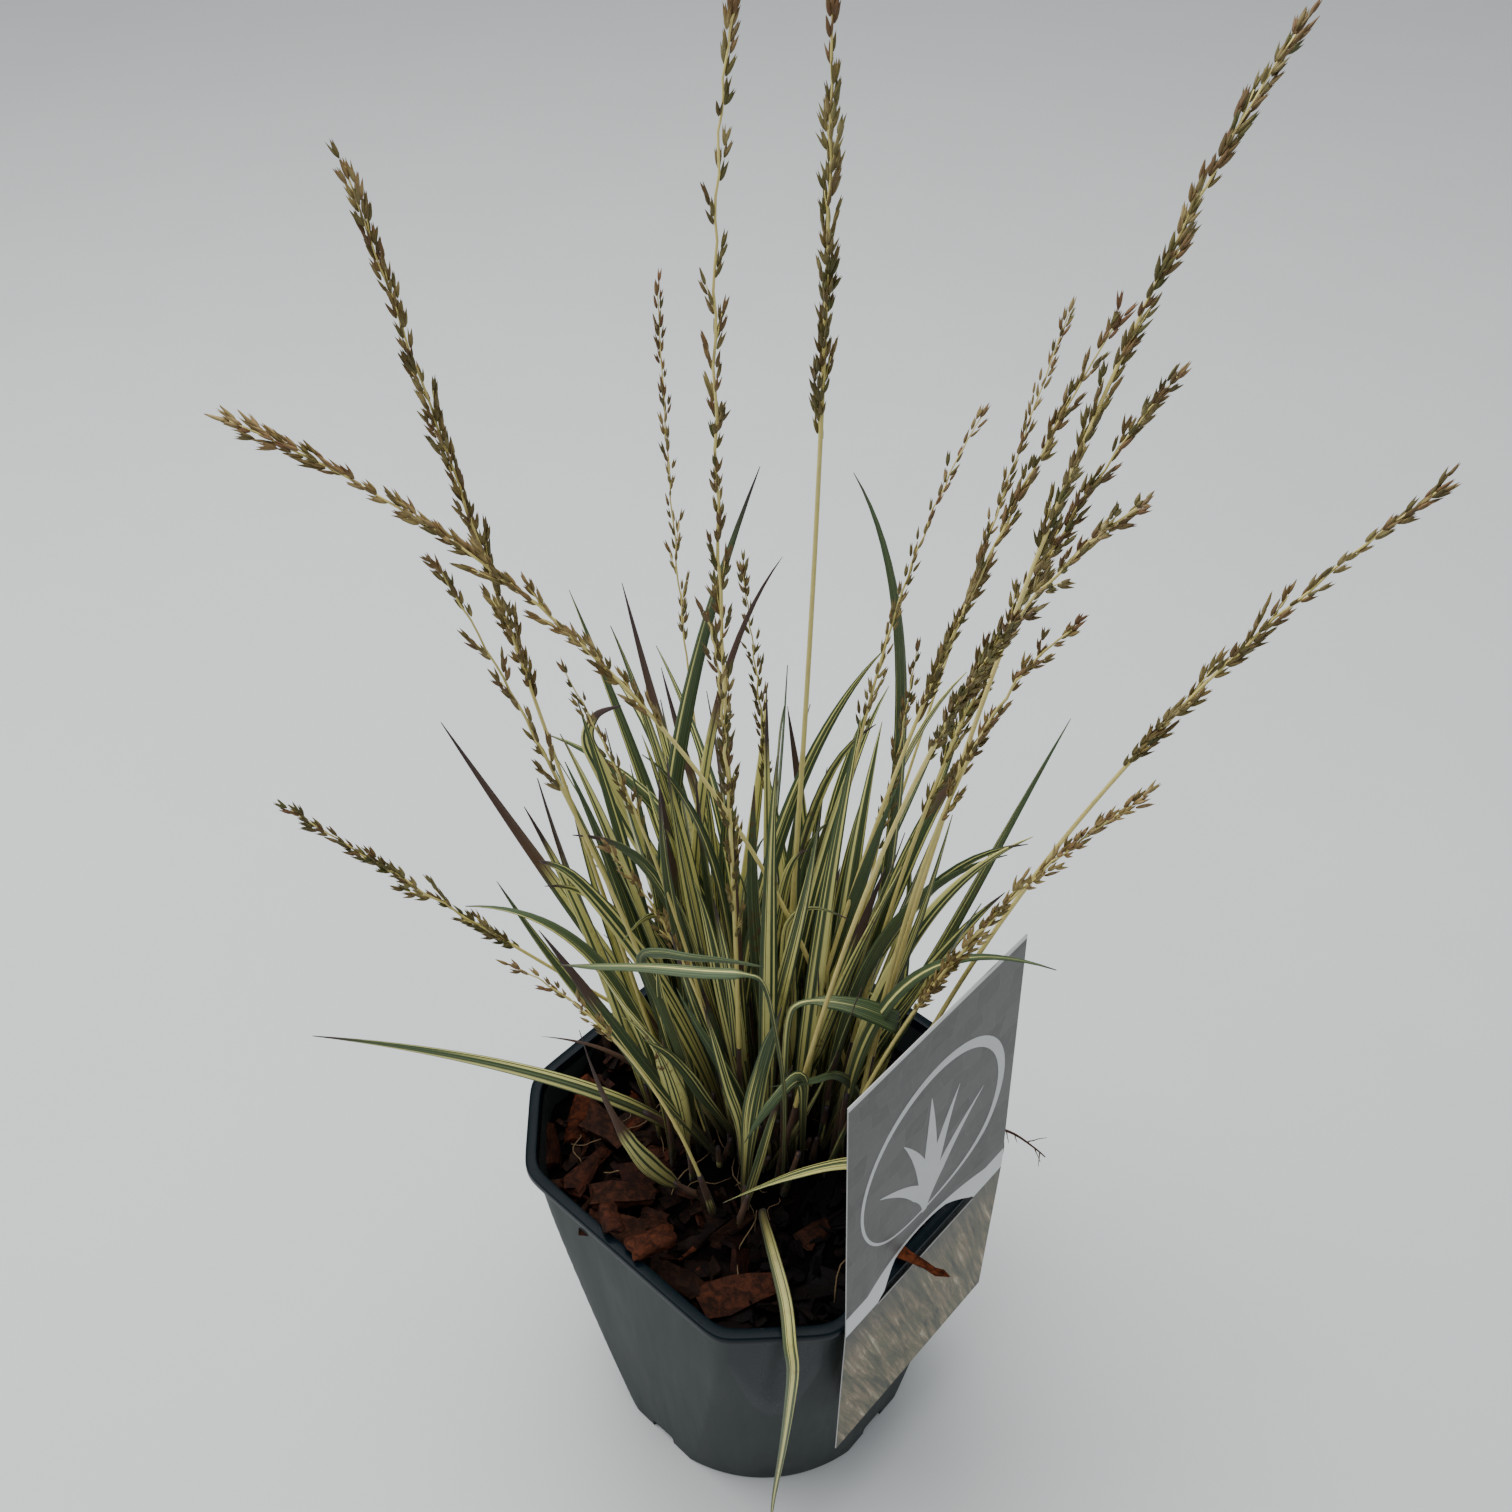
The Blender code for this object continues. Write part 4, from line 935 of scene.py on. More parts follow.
def make_chips(material):
    """The loose bark over the compost: chosen chips, then many smaller ones."""
    rng = random.Random(7)
    shapes = [chip_shape(rng) for _ in range(9)]
    bm = toned_mesh()
    for number, row in enumerate(KEY_CHIPS):
        x, y, lift, length, width, thickness, heading, tilt, roll, red = row
        stamp(bm, shapes[number % len(shapes)],
              chip_matrix(x, y, ground(x, y) + lift, length, width, thickness, heading, tilt, roll),
              (red, 0.1, rng.uniform(0, 0.3)))
    placed = 0
    while placed < 520:
        angle = rng.uniform(0, 2 * math.pi)
        radius = 96 * math.sqrt(rng.uniform(0.12, 1.0))
        x, y = radius * math.cos(angle), radius * math.sin(angle)
        big = rng.random() < 0.35
        length = rng.uniform(11, 22) if big else rng.uniform(4, 11)
        if not inside_pot(x, y, length * 0.42):
            continue
        placed += 1
        width = length * rng.uniform(0.22, 0.48)
        thickness = max(1.2, length * rng.uniform(0.12, 0.24))
        lift = rng.uniform(-1.0, 2.0) + (1.5 if not big else 0.0)
        # Painted light and shade: chips towards the front-left get redder, paler tones as painted light,
        # the rest darker tones as painted shade.
        lit = min(1.0, max(0.0, (12 - x - 0.15 * y) / 50))
        shade = rng.uniform(0.0, 0.35) + lit * rng.uniform(0.0, 0.6)
        stamp(bm, rng.choice(shapes),
              chip_matrix(x, y, rough_ground(x, y) + lift, length, width, thickness,
                          rng.uniform(0, 360), rng.gauss(0, 26), rng.gauss(0, 30)),
              (shade, rng.uniform(0.2, 1.0) * (1 - 0.6 * lit), lit * rng.uniform(0, 0.6) ** 2))
    piece = make_piece("bark_mulch", bm, [material], (), 35)
    for number, row in enumerate(RIM_CHIPS, 1):
        bm = toned_mesh()
        x, y, z, length, width, thickness, heading = row
        stamp(bm, shapes[number], chip_matrix(x, y, z, length, width, thickness, heading, 6, 8),
              (RIM_CHIP_TONES[number - 1], 0.0, 0.1))
        if number == SLIT_CHIP:
            sharpen(bm, Vector((x, y, z)) * MM, math.radians(heading), length * MM)
        bmesh.ops.subdivide_edges(bm, edges=list(bm.edges), cuts=1, use_grid_fill=True, smooth=0.6)
        make_piece("rim_chip_%d" % number, bm, [material], ["bark_chip_%d" % number], 40)
    return piece


def sharpen(bm, middle, heading, length):
    """Draw one end of a chip out to a point."""
    way = Vector((math.cos(heading), math.sin(heading), 0))
    for vert in bm.verts:
        along = (vert.co - middle).dot(way)
        keep = 1 - 0.9 * min(1.0, max(0.0, along / length + 0.25) / 0.75)
        axis = middle + way * along
        vert.co = axis + (vert.co - axis) * keep


def label_shift(z):
    share = (z - LABEL_LOW) / (LABEL_HIGH - LABEL_LOW)
    return LABEL_SHIFT_LOW + (LABEL_SHIFT_HIGH - LABEL_SHIFT_LOW) * share


def label_place(along, z):
    """Distance from the pot's axis of the card's middle surface, as in the solids."""
    above = z - POT_HEIGHT
    distance = LABEL_STANDOFF - (LABEL_LEAN_HIGH if above > 0 else LABEL_LEAN_LOW) * above
    lip_width = SLIT_WIDTH / 2 + LIP_MARGIN
    across = max(0.0, 1 - ((along - label_shift(SLIT_LOW)) / lip_width) ** 2)
    start = min(1.0, max(0.0, (above - LIP_START) / LIP_RAMP))
    fade = math.exp(-max(0.0, above - LIP_RAMP) / LIP_REACH)
    return distance - LIP_TUCK * across * start * fade


def on_label(across, z, proud=0.0):
    """A point on the card; across is in millimetres from its middle line."""
    facing = math.radians(LABEL_TURN)
    outward = Vector((math.cos(facing), math.sin(facing), 0))
    sideways = Vector((-outward.y, outward.x, 0))
    along = label_shift(z) + across
    distance = label_place(along, z) + proud
    return (outward * distance + sideways * along + UP * z) * MM


def make_label(material, edge_material):
    """The card with its half-moon slit, hooked over the rim."""
    bm = bmesh.new()
    columns, rows = 56, 116
    bmesh.ops.create_grid(bm, x_segments=columns, y_segments=rows, size=1.0)
    uv = bm.loops.layers.uv.new("UVMap")
    for vert in bm.verts:
        z = LABEL_LOW + (vert.co.y + 1) / 2 * (LABEL_HIGH - LABEL_LOW)
        vert.co = Vector((vert.co.x * LABEL_WIDTH / 2, 0, z)) * MM
    for face in bm.faces:
        for loop in face.loops:
            loop[uv].uv = (loop.vert.co.x / MM / LABEL_WIDTH + 0.5,
                           (loop.vert.co.z / MM - LABEL_LOW) / (LABEL_HIGH - LABEL_LOW))
    faces = bmesh.ops.extrude_face_region(bm, geom=list(bm.faces))["geom"]
    raised = [item for item in faces if isinstance(item, bmesh.types.BMVert)]
    bmesh.ops.translate(bm, vec=(0, LABEL_THICKNESS * MM, 0), verts=raised)
    bmesh.ops.recalc_face_normals(bm, faces=bm.faces)
    flat = loose_object("label_flat", bm)
    cut = bmesh.new()
    bmesh.ops.create_circle(cut, cap_ends=True, segments=96, radius=SLIT_WIDTH / 2 * MM)
    lower = [vert for vert in cut.verts if vert.co.y < -0.1 * MM]
    bmesh.ops.delete(cut, geom=lower, context="VERTS")
    bmesh.ops.contextual_create(cut, geom=cut.verts)
    for vert in cut.verts:
        share = vert.co.y / (SLIT_WIDTH / 2 * MM)
        vert.co = (vert.co.x, -2 * MM, (SLIT_LOW + SLIT_RISE * share) * MM)
    grown = bmesh.ops.extrude_face_region(cut, geom=list(cut.faces))["geom"]
    raised = [item for item in grown if isinstance(item, bmesh.types.BMVert)]
    bmesh.ops.translate(cut, vec=(0, 4 * MM, 0), verts=raised)
    bmesh.ops.recalc_face_normals(cut, faces=cut.faces)
    bm = cut_away(flat, [loose_object("slit_cutter", cut)])
    for vert in bm.verts:
        across, depth, z = vert.co / MM
        vert.co = on_label(across, z, depth - LABEL_THICKNESS / 2)
    bmesh.ops.recalc_face_normals(bm, faces=bm.faces)
    bm.normal_update()
    facing = math.radians(LABEL_TURN)
    outward = Vector((math.cos(facing), math.sin(facing), 0))
    for face in bm.faces:
        face.material_index = 0 if abs(face.normal.dot(outward)) > 0.6 else 1
    return make_piece("plant_label", bm, [material, edge_material], ["label"], 40)


def strip(bm, points, sides, normals, halves, fold, tone, columns=BLADE_COLUMNS):
    """A blade along the points: folded along its middle, with its own UV map and tone."""
    rows = len(points) - 1
    uv = bm.loops.layers.uv["UVMap"]
    made = bmesh.ops.create_grid(bm, x_segments=columns, y_segments=rows, size=1.0)["verts"]
    spots = {}
    for vert in made:
        row = round((vert.co.y + 1) / 2 * rows)
        across = vert.co.x
        spots[vert] = (across * 0.5 + 0.5, row / rows)
        half = halves[row]
        drop = fold[row] * half * abs(across)
        vert.co = (points[row] + sides[row] * across * half - normals[row] * drop) * MM
    for face in {face for vert in made for face in vert.link_faces}:
        for loop in face.loops:
            loop[uv].uv = spots[loop.vert]
    paint(bm, made, tone)
    return made


def shoot_path(row, count):
    """Points of a shoot: a bow from its foot to its tip, pushed sideways by its sway."""
    foot_x, foot_y, heading, reach, height, bow, sway = row[:7]
    turn = math.radians(heading)
    outward = Vector((math.cos(turn), math.sin(turn), 0))
    sideways = Vector((-outward.y, outward.x, 0))
    base = Vector((foot_x, foot_y, SOIL_LEVEL))
    tip = base + outward * reach + UP * height
    lean = bow / 100
    bend = (base + outward * reach * (1 - lean) / 2 + UP * (height * (1 + lean) / 2)
            + sideways * sway)
    base.z += 2.0
    points = []
    for index in range(count):
        share = index / (count - 1)
        points.append(base * (1 - share) ** 2 + bend * 2 * share * (1 - share) + tip * share ** 2)
    return points


def tangents(points):
    result = []
    for index in range(len(points)):
        before = points[max(0, index - 1)]
        after = points[min(len(points) - 1, index + 1)]
        result.append((after - before).normalized())
    return result


def faces_along(points, toward, roll_foot, roll_tip):
    """Side and face directions along a path, turned to face a place and then rolled."""
    sides, normals = [], []
    directions = tangents(points)
    for index, (point, direction) in enumerate(zip(points, directions)):
        view = (Vector(toward) - point).normalized()
        normal = (view - direction * view.dot(direction)).normalized()
        share = index / (len(points) - 1)
        roll = math.radians(roll_foot + (roll_tip - roll_foot) * share)
        normal.rotate(Matrix.Rotation(roll, 3, direction))
        sides.append(direction.cross(normal).normalized())
        normals.append(normal)
    return sides, normals


def blade_share(share, shape="blade"):
    """Width along the length: narrow foot, full by a third, long pointed tip, or a shape's own."""
    if shape == "blade":
        rise = min(1.0, share / 0.3)
        fall = max(0.0, (share - 0.45) / 0.55)
        return (0.45 + 0.55 * rise) * (1 - 0.97 * fall ** 1.6)
    for (low, first), (high, second) in zip(SHAPES[shape], SHAPES[shape][1:]):
        if share <= high:
            step = (share - low) / (high - low)
            return first + (second - first) * step * step * (3 - 2 * step)
    return SHAPES[shape][-1][1]


def bend_tip(points, rng, amount):
    """A little sideways wander, growing towards the tip, so that no two blades are alike."""
    phase = rng.uniform(0, 6.28)
    count = len(points) - 1
    result = []
    for index, point in enumerate(points):
        share = index / count
        wave = math.sin(phase + share * 5.0) * amount * share
        cross = math.cos(phase * 1.7 + share * 4.0) * amount * share
        result.append(point + Vector((wave, cross, 0)))
    return result


def add_blade(bm, points, width, shape, look, rng):
    """One blade on its path, turned to face the front and then rolled."""
    roll_foot, roll_tip, green, tip, spots = look
    sides, normals = faces_along(points, CAMERA_PLACE, roll_foot, roll_tip)
    count = len(points) - 1
    halves = [width / 2 * blade_share(index / count, shape) for index in range(count + 1)]
    fold = [0.34 - 0.22 * index / count for index in range(count + 1)]
    strip(bm, points, sides, normals, halves, fold,
          (rng.random(), green / 100, tip / 100, spots / 100))


def make_blade(name, points, width, shape, look, rng, material, nodes):
    """One leaf blade as its own piece."""
    bm = toned_mesh()
    add_blade(bm, points, width, shape, look, rng)
    piece = make_piece(name, bm, [material], nodes)
    solidify = piece.modifiers.new("thickness", "SOLIDIFY")
    solidify.thickness = BLADE_THICKNESS * MM
    solidify.offset = 0
    return piece


def smooth_route(points, count):
    """Points at even steps on a smooth curve through the route's own points."""
    places = [Vector(point) for point in points]
    route = []
    last = len(places) - 1
    for index in range(count):
        at = index / (count - 1) * last
        start = min(int(at), last - 1)
        share = at - start
        before = places[max(0, start - 1)]
        first, second = places[start], places[start + 1]
        after = places[min(last, start + 2)]
        route.append(0.5 * ((2 * first) + (second - before) * share
                            + (2 * before - 5 * first + 4 * second - after) * share ** 2
                            + (3 * first - before - 3 * second + after) * share ** 3))
    return route


def make_blades(material):
    rng = random.Random(21)
    for number, row in enumerate(BLADES, 1):
        if number in BLADE_ROUTES:
            points = smooth_route(BLADE_ROUTES[number], 40)
        else:
            points = bend_tip(shoot_path(row, BLADE_ROWS + 1), rng, 1.2)
        make_blade("blade_%02d" % number, points, row[7], BLADE_SHAPES.get(number, "blade"),
                   row[8:13], rng, material, ["leaf_%02d" % number])
    points = smooth_route(BENT_BLADE, 46)
    make_blade("blade_over_rim", points, BENT_BLADE_WIDTH, "blade", BENT_BLADE_LOOK, rng, material,
               ["leaf_%02d" % (len(BLADES) + 1)])


def clear_of_pot(points, margin):
    """Whether a shoot stays inside the rim while low, and behind the label."""
    facing = math.radians(LABEL_TURN)
    outward = Vector((math.cos(facing), math.sin(facing), 0))
    for point in points:
        if point.z < LABEL_HIGH + 4 and point.dot(outward) > LABEL_STANDOFF - 14:
            return False
        if point.z < POT_HEIGHT + 6 and math.hypot(point.x, point.y) > 80 - margin:
            return False
    return True


def make_more_leaves(material):
    """The rest of the clump's leaves, joined: those listed one by one, then a crowd round the middle."""
    rng = random.Random(5)
    bm = toned_mesh()
    for width, shape, roll_foot, roll_tip, green, tip, spots, route in LOOSE_LEAVES:
        add_blade(bm, smooth_route(route, 26), width, shape, (roll_foot, roll_tip, green, tip, spots),
                  rng)
    made = 0
    while made < EXTRA_LEAVES:
        foot_angle = rng.uniform(0, 2 * math.pi)
        foot_radius = CLUMP_RADIUS * math.sqrt(rng.random())
        x = CLUMP_CENTRE[0] + foot_radius * math.cos(foot_angle)
        y = CLUMP_CENTRE[1] + foot_radius * math.sin(foot_angle)
        heading = math.degrees(foot_angle) + rng.gauss(0, 45)
        height = rng.uniform(95, 225) * (0.9 if y < 0 else 1.0)
        reach = height * rng.uniform(0.06, 0.42) * (0.5 + 0.6 * foot_radius / CLUMP_RADIUS)
        bow = rng.uniform(0, 90) if y > 12 else rng.uniform(-15, 35)
        row = (x, y, heading, reach, height, bow, rng.gauss(0, 7))
        points = shoot_path(row, 18)
        width = rng.uniform(4.4, 7.4)
        if not clear_of_pot(points, width):
            continue
        if y < CLUMP_FRONT and math.sin(math.radians(heading)) < -0.35:
            continue
        made += 1
        roll = rng.gauss(0, 40)
        look = (roll, roll + rng.gauss(0, 30), rng.uniform(10, 90), 60 * rng.random() ** 3,
                60 * rng.random() ** 4)
        add_blade(bm, bend_tip(points, rng, 2.2), width, "blade", look, rng)
    piece = make_piece("clump_leaves", bm, [material])
    solidify = piece.modifiers.new("thickness", "SOLIDIFY")
    solidify.thickness = BLADE_THICKNESS * MM
    solidify.offset = 0
    return piece


def add_tube(bm, points, radii, tone, sides=STEM_SIDES):
    """A round rod along the points, closed at both ends, with UV map and tone."""
    rows = len(points) - 1
    uv = bm.loops.layers.uv["UVMap"]
    made = bmesh.ops.create_grid(bm, x_segments=sides, y_segments=rows + 2, size=1.0)["verts"]
    directions = tangents(points)
    side = directions[0].orthogonal().normalized()
    frames = []
    for direction in directions:
        side = (side - direction * side.dot(direction)).normalized()
        frames.append((side, direction.cross(side)))
    spots = {}
    for vert in made:
        ring = round((vert.co.y + 1) / 2 * (rows + 2)) - 1
        row = min(max(ring, 0), rows)
        turn = (vert.co.x + 1) * math.pi
        radius = radii[row] if 0 <= ring <= rows else 0.0
        spots[vert] = ((vert.co.x + 1) / 2, row / rows)
        around = frames[row][0] * math.cos(turn) + frames[row][1] * math.sin(turn)
        vert.co = (points[row] + around * radius) * MM
    for face in {face for vert in made for face in vert.link_faces}:
        for loop in face.loops:
            loop[uv].uv = spots[loop.vert]
    paint(bm, made, tone)
    bmesh.ops.remove_doubles(bm, verts=made, dist=0.000004)


def floret_shape():
    """One floret of unit length: a slim body, fullest below its middle, with a drawn-out point."""
    bm = toned_mesh()
    bmesh.ops.create_uvsphere(bm, u_segments=5, v_segments=6, radius=0.5)
    uv = bm.loops.layers.uv["UVMap"]
    for vert in bm.verts:
        share = vert.co.z + 0.5
        angle = math.atan2(vert.co.y, vert.co.x)
        swell = math.sin(math.pi * share ** 0.6) ** 1.15 if 0.001 < share < 0.999 else 0.0
        radius = 0.5 * swell * (1 + 0.2 * math.cos(2 * angle))
        vert.co = Vector((radius * math.cos(angle) + 0.1 * share * share,
                          radius * math.sin(angle), share))
    for face in bm.faces:
        for loop in face.loops:
            angle = math.atan2(loop.vert.co.y, loop.vert.co.x)
            loop[uv].uv = (angle / (2 * math.pi) + 0.5, loop.vert.co.z)
        face.material_index = 1
    mesh = bpy.data.meshes.new("floret_shape")
    bm.to_mesh(mesh)
    bm.free()
    return mesh


def floret_matrix(place, direction, length, width, spin):
    turn = UP.rotation_difference(direction).to_matrix().to_4x4()
    size = Matrix.Diagonal((width * MM, width * MM, length * MM, 1))
    return Matrix.Translation(place * MM) @ turn @ Matrix.Rotation(spin, 4, "Z") @ size


def point_at(points, distance):
    """Place and direction at a distance along a path."""
    for before, after in zip(points, points[1:]):
        length = (after - before).length
        if distance <= length:
            break
        distance -= length
    return before.lerp(after, min(1.0, distance / length)), (after - before).normalized()


def path_length(points):
    return sum((after - before).length for before, after in zip(points, points[1:]))


def add_spikelet(bm, place, axis, across, size, florets, tone, floret):
    """A few florets fanned to alternate sides, each starting a little higher."""
    for number in range(florets):
        lean = (0.15 + 0.08 * number) * (1 if number % 2 else -1)
        if number == florets - 1:
            lean *= 0.3
        heading = (axis + across * lean).normalized()
        start = place + axis * size * 0.42 * number + across * lean * size * 0.4
        length = SPIKELET_LENGTH * size * (1.0 - 0.05 * number)
        width = SPIKELET_WIDTH * size * (1.0 - 0.08 * number)
        stamp(bm, floret, floret_matrix(start, heading, length, width, number * 1.7), tone)


def add_branch(bm, place, direction, side, length, look, rng, floret):
    """A short branch pressed to the stem, with spikelets to alternate sides and one at its end."""
    slim, green, tan, height = look
    axis = (direction + side * rng.uniform(0.06, 0.24)).normalized()
    across = axis.cross(side).normalized()
    count = max(2, round(length / (3.3 if slim else 2.6)))
    if length > 11:
        stalk = [place + axis * length * share * 0.8 for share in (0, 0.5, 1)]
        add_tube(bm, stalk, [0.26, 0.22, 0.18], (rng.random(), 0.2, 0.1), 4)
    for number in range(count):
        share = number / (count - 1)
        way = (1 if number % 2 else -1) * (0.0 if number == count - 1 else 1.0)
        start = place + axis * length * share * 0.8 + across * way * 0.45 + side * 0.3
        heading = (axis + across * way * rng.uniform(0.08, 0.26) + side * rng.uniform(-0.02, 0.2))
        fan = (across * rng.uniform(0.5, 1) + side * rng.uniform(-0.8, 0.8)).normalized()
        size = rng.uniform(0.85, 1.15) * (0.88 if slim else 1.0) * (1.0 - 0.12 * height)
        tone = (min(1.0, rng.random() * 0.75 + 0.3 * tan), min(1.0, green * rng.uniform(0.4, 1.4)),
                min(1.0, rng.random() ** 1.6 * (0.35 + 0.6 * height)))
        florets = 2 if slim or rng.random() < 0.25 else rng.choice((3, 3, 4))
        add_spikelet(bm, start, heading.normalized(), fan, size, florets, tone, floret)


def add_panicle(bm, points, share, slim, spread, green, tan, rng, floret):
    """Short branches of spikelets up the top of a stem, overlapping in loose clusters.
    Spread stretches the steps between branches."""
    total = path_length(points)
    start = total * (1 - share)
    distance = start
    turn = rng.uniform(0, 6.28)
    while distance < total - 2.5:
        height = (distance - start) / (total - start)
        place, direction = point_at(points, distance)
        length = (17 - 9 * height) * rng.uniform(0.65, 1.25) * (0.7 if slim else 1.0)
        length = min(length, total - distance + 3.0)
        turn += math.pi + rng.gauss(0, 0.75)
        side = direction.orthogonal().normalized()
        side.rotate(Matrix.Rotation(turn, 3, direction))
        add_branch(bm, place, direction, side, max(4.0, length), (slim, green, tan, height), rng, floret)
        gap = rng.uniform(2.5, 7.0) if rng.random() < 0.15 * spread else 0.0
        distance += length * rng.uniform(0.22, 0.5) * spread + gap
    place, direction = point_at(points, total - 3.5)
    across = direction.orthogonal().normalized()
    add_spikelet(bm, place, direction, across, 0.95, 3, (0.5, green, 0.7), floret)


def winding(points, share, amount):
    """A stem's path, with a slight zigzag through the part that carries spikelets."""
    result = []
    count = len(points) - 1
    for index, point in enumerate(points):
        place = index / count
        rise = min(1.0, max(0.0, (place - (1 - share)) / 0.1)) * (1 - place ** 8)
        result.append(point + Vector((math.sin(index * 1.9), math.cos(index * 1.3), 0)) * amount * rise)
    return result


def make_culms(stem_material, scale_material):
    rng = random.Random(11)
    floret = floret_shape()
    for number, row in enumerate(CULMS, 1):
        share = row[7]
        slim = number in SLIM_PANICLES
        points = winding(shoot_path(row, STEM_ROWS + 1), share, 0.5)
        thick = STEM_RADIUS * (0.75 if slim else 1.0)
        radii = []
        for index in range(STEM_ROWS + 1):
            place = index / STEM_ROWS
            bare = 1 - 0.42 * place / (1 - share) if place < 1 - share else 0.58
            taper = max(0.0, (place - (1 - share)) / share)
            radii.append(thick * (bare - 0.34 * taper ** 0.6))
        bm = toned_mesh()
        add_tube(bm, points, radii, (rng.random(), rng.uniform(0, 0.3), rng.uniform(0, 0.2)))
        green = rng.uniform(0.55, 0.95) if number in GREEN_PANICLES else rng.uniform(0.1, 0.4)
        tan = 1.0 if number in TAN_PANICLES else 0.0
        spread = OPEN_SPREAD if number in OPEN_PANICLES else 1.2 if slim else 1.0
        add_panicle(bm, points, share, slim, spread, green, tan, rng, floret)
        make_piece("flower_stem_%02d" % number, bm, [stem_material, scale_material],
                   ["culm_%02d" % number])


def make_sheaths(material):
    """Leaf sheaths wrapped round the foot of each shoot, and many short bare shoots."""
    rng = random.Random(31)
    bm = toned_mesh()
    rows = [row[:7] for row in CULMS] + [row[:7] for row in BLADES]
    for _ in range(75):
        angle = rng.uniform(0, 2 * math.pi)
        radius = CLUMP_RADIUS * math.sqrt(rng.random())
        rows.append((CLUMP_CENTRE[0] + radius * math.cos(angle), CLUMP_CENTRE[1] + radius * math.sin(angle),
                     math.degrees(angle) + rng.gauss(0, 40), rng.uniform(5, 30),
                     rng.uniform(60, 130), rng.uniform(0, 60), 0))
    for row in rows:
        path = shoot_path(row, 41)
        top = rng.randint(5, 14)
        points = [path[0] - UP * 4] + path[1:top]
        thick = rng.uniform(1.2, 2.1)
        radii = [thick * (1 - 0.5 * index / len(points)) for index in range(len(points))]
        tone = (rng.random(), rng.uniform(0.5, 1.0), rng.uniform(0.8, 1.9), rng.random())
        add_tube(bm, points, radii, tone)
    return make_piece("shoot_sheaths", bm, [material])


def make_threads(material):
    """Dry sheath fibres and rootlets lying over the compost and among the shoots."""
    rng = random.Random(43)
    bm = toned_mesh()
    for _ in range(40):
        angle = rng.uniform(0, 2 * math.pi)
        radius = rng.uniform(20, 84)
        x, y = radius * math.cos(angle), radius * math.sin(angle)
        length = rng.uniform(8, 34)
        if not inside_pot(x, y, 8):
            continue
        heading = rng.uniform(0, 2 * math.pi)
        points = []
        for index in range(9):
            share = index / 8
            wobble = 1.8 * math.sin(share * 7 + heading * 3)
            px = x + math.cos(heading) * length * (share - 0.5) - math.sin(heading) * wobble
            py = y + math.sin(heading) * length * (share - 0.5) + math.cos(heading) * wobble
            if not inside_pot(px, py, 2):
                break
            lift = 3.0 + 2.5 * math.sin(share * math.pi)
            points.append(Vector((px, py, rough_ground(px, py) + lift)))
        if len(points) > 3:
            thick = rng.uniform(0.12, 0.3)
            add_tube(bm, points, [thick] * len(points), (rng.random(), 0, rng.random()), 5)
    return make_piece("root_threads", bm, [material])


def make_rootlet(material):
    """The rootlet over the rim at the right, with its side roots."""
    rng = random.Random(3)
    bm = toned_mesh()
    points = smooth_route(ROOTLET, 21)
    radii = [0.8 - 0.55 * index / 20 for index in range(21)]
    add_tube(bm, points, radii, (0.3, 0, 0.5), 7)
    for index in (5, 8, 10, 13, 15, 17):
        start = points[index]
        heading = math.atan2(points[index + 1].y - start.y, points[index + 1].x - start.x)
        heading += rng.choice((-1, 1)) * rng.uniform(0.5, 1.1)
        reach = rng.uniform(4, 9)
        branch = []
        for step in range(7):
            share = step / 6
            branch.append(start + Vector((math.cos(heading) * reach * share,
                                          math.sin(heading) * reach * share,
                                          rng.uniform(-0.3, 0.3) + 0.6 * share)))
        add_tube(bm, branch, [0.3 - 0.2 * step / 6 for step in range(7)], (0.4, 0, 0.5), 5)
    return make_piece("rim_rootlet", bm, [material], ["rootlet"])


def make_print(material):
    """The label's own generic design: a tuft of arching blades in a ring."""
    bm = bmesh.new()
    steps = 20
    for lean, top, bow, width in PRINT_TUFT:
        line = []
        for index in range(steps + 1):
            share = index / steps
            line.append((lean * share ** (1.0 + bow / 60),
                         PRINT_FOOT + (top - PRINT_FOOT) * share * (1.12 - 0.12 * share)))
        rows = []
        for index, (x, z) in enumerate(line):
            before = line[max(0, index - 1)]
            after = line[min(steps, index + 1)]
            dx, dz = after[0] - before[0], after[1] - before[1]
            share = index / steps
            swell = 0.35 + 0.65 * min(1.0, share / 0.4)
            swell *= 1 - 0.97 * (max(0.0, share - 0.4) / 0.6) ** 1.3
            half = width / 2 * swell / math.hypot(dx, dz)
            rows.append((x, z, -dz * half, dx * half))
        add_decal(bm, rows)
    ring = []
    turns = 72
    for index in range(turns + 1):
        angle = index / turns * 2 * math.pi
        half = PRINT_LINE * (0.75 + 0.45 * math.cos(angle - 0.8))
        ring.append((PRINT_RADIUS * math.cos(angle), PRINT_MIDDLE + PRINT_RADIUS * math.sin(angle),
                     half * math.cos(angle), half * math.sin(angle)))
    add_decal(bm, ring)
    tidy_mesh(bm)
    return make_piece("label_design", bm, [material])


def add_decal(bm, rows):
    """A thin printed strip on the card; rows are x, z and half-width offsets."""
    count = len(rows) - 1
    made = bmesh.ops.create_grid(bm, x_segments=2, y_segments=count, size=1.0)["verts"]
    for vert in made:
        row = round((vert.co.y + 1) / 2 * count)
        side = vert.co.x
        x, z, dx, dz = rows[row]
        vert.co = on_label(x + side * dx, z + side * dz, LABEL_THICKNESS / 2 + 0.06)


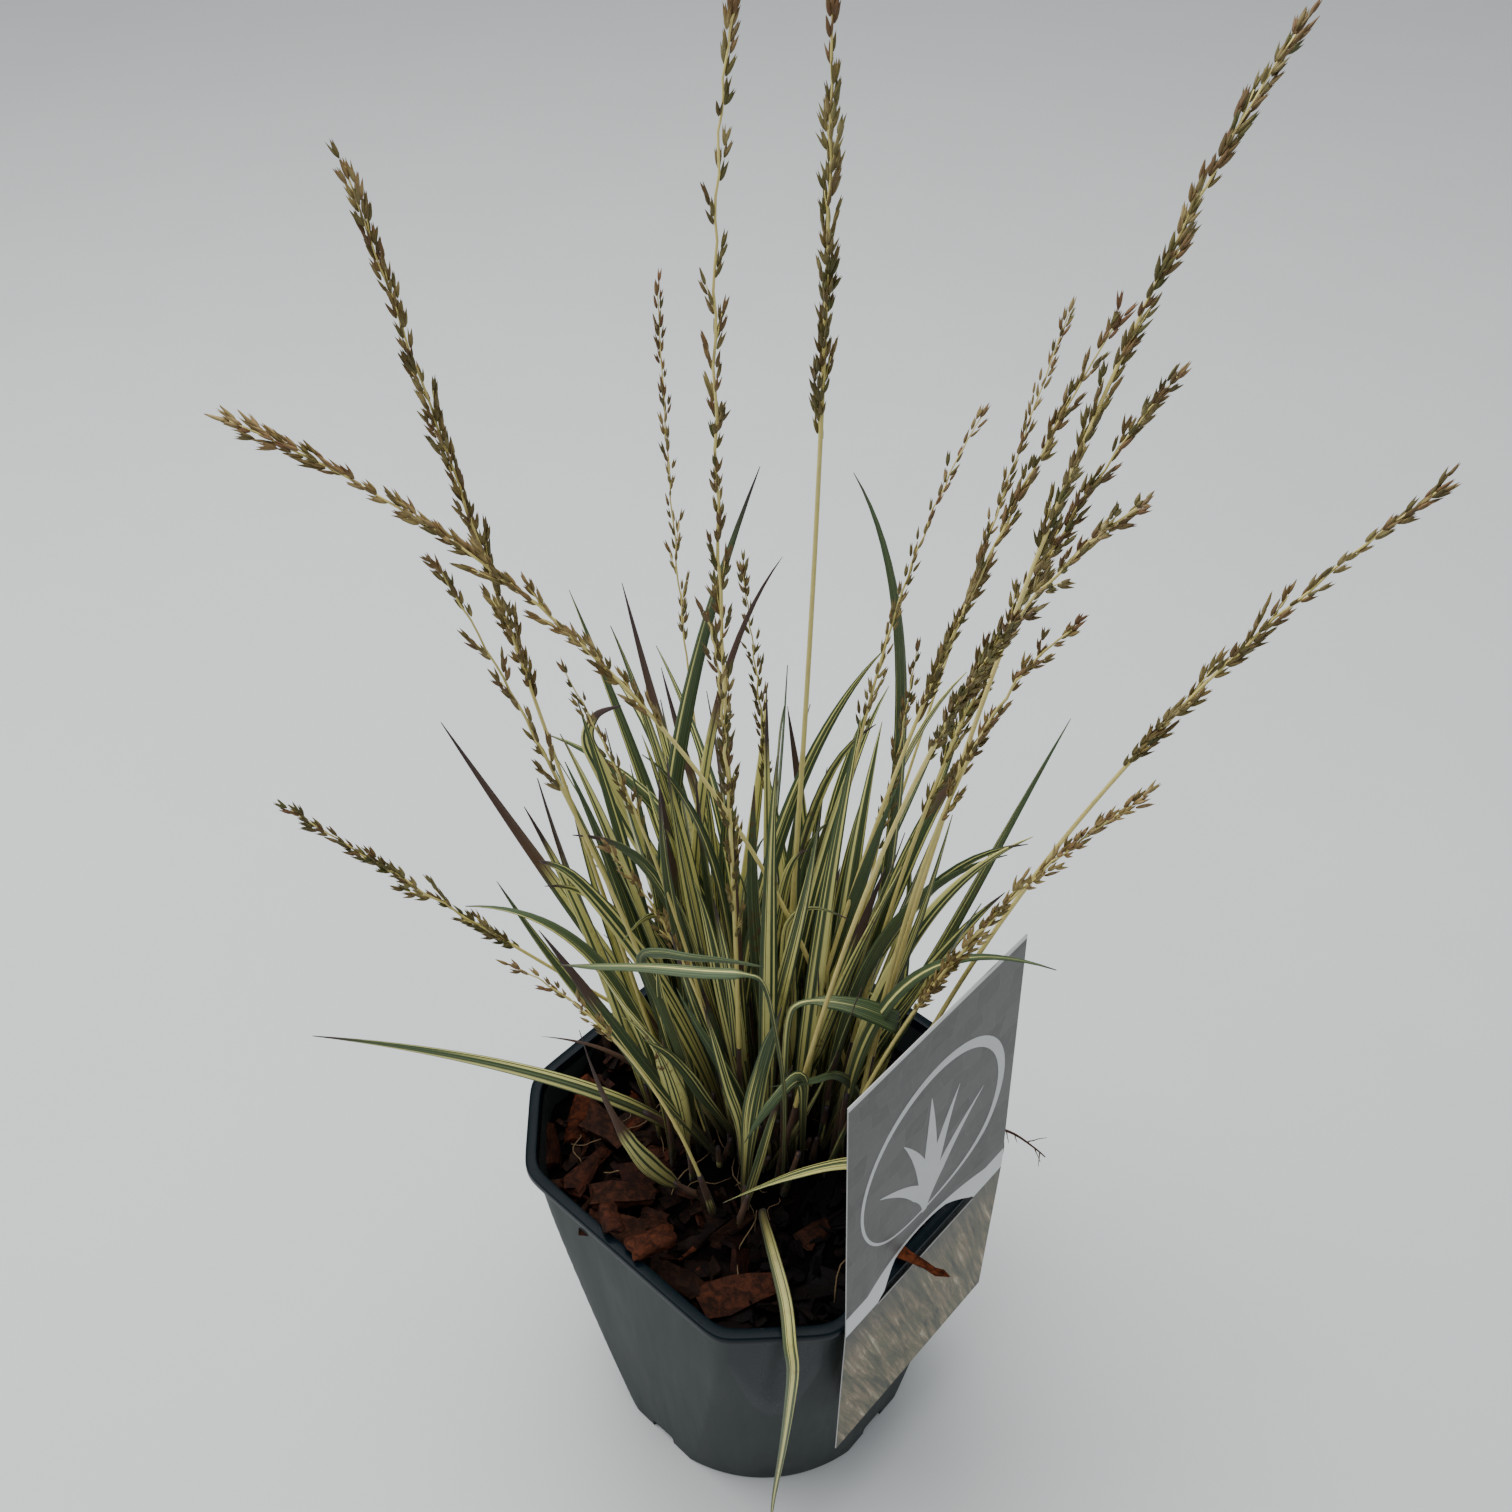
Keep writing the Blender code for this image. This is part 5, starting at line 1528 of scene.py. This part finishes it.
def make_stage():
    """Pale floor, soft studio light and the camera at the photograph's angle."""
    bm = bmesh.new()
    bmesh.ops.create_grid(bm, x_segments=2, y_segments=2, size=6.0)
    mesh = bpy.data.meshes.new("studio_floor")
    bm.to_mesh(mesh)
    bm.free()
    mesh.materials.append(floor_finish())
    floor = bpy.data.objects.new("studio_floor", mesh)
    bpy.context.scene.collection.objects.link(floor)

    world = bpy.data.worlds.new("studio")
    bpy.context.scene.world = world
    world.use_nodes = True
    world.node_tree.nodes["Background"].inputs["Color"].default_value = (0.93, 0.97, 1.0, 1)
    world.node_tree.nodes["Background"].inputs["Strength"].default_value = 0.62
    add_light("overhead", (-0.25, 0.30, 1.9), (0, 0, 0.15), 1.6, 42)
    add_light("side", (-1.6, 0.2, 1.2), (0, 0, 0.2), 1.2, 9)

    camera = bpy.data.objects.new("camera", bpy.data.cameras.new("camera"))
    camera.data.lens = CAMERA_LENS
    camera.data.sensor_width = CAMERA_SENSOR
    camera.data.clip_start = 0.01
    camera.location = Vector(CAMERA_PLACE) * MM
    camera.rotation_euler = (math.radians(CAMERA_PITCH), 0, math.radians(CAMERA_TURN))
    bpy.context.scene.collection.objects.link(camera)
    bpy.context.scene.camera = camera


def add_light(name, place, target, size, power):
    data = bpy.data.lights.new(name, "AREA")
    data.size = size
    data.energy = power
    light = bpy.data.objects.new(name, data)
    light.location = place
    light.rotation_euler = (Vector(target) - Vector(place)).to_track_quat("-Z", "Y").to_euler()
    bpy.context.scene.collection.objects.link(light)


make_stage()
leaf = leaf_finish()
straw = stem_finish()
bark = bark_finish()
make_pot(pot_finish())
make_medium(compost_finish())
make_chips(bark)
make_label(label_finish(), card_edge_finish())
make_print(print_finish())
make_blades(leaf)
make_more_leaves(leaf)
make_culms(straw, spikelet_finish())
make_sheaths(leaf)
fibre = root_finish("dark root", (0.02, 0.011, 0.008), (0.07, 0.035, 0.022))
make_threads(root_finish("dry fibre", (0.07, 0.04, 0.02), (0.22, 0.15, 0.08)))
make_rootlet(fibre)
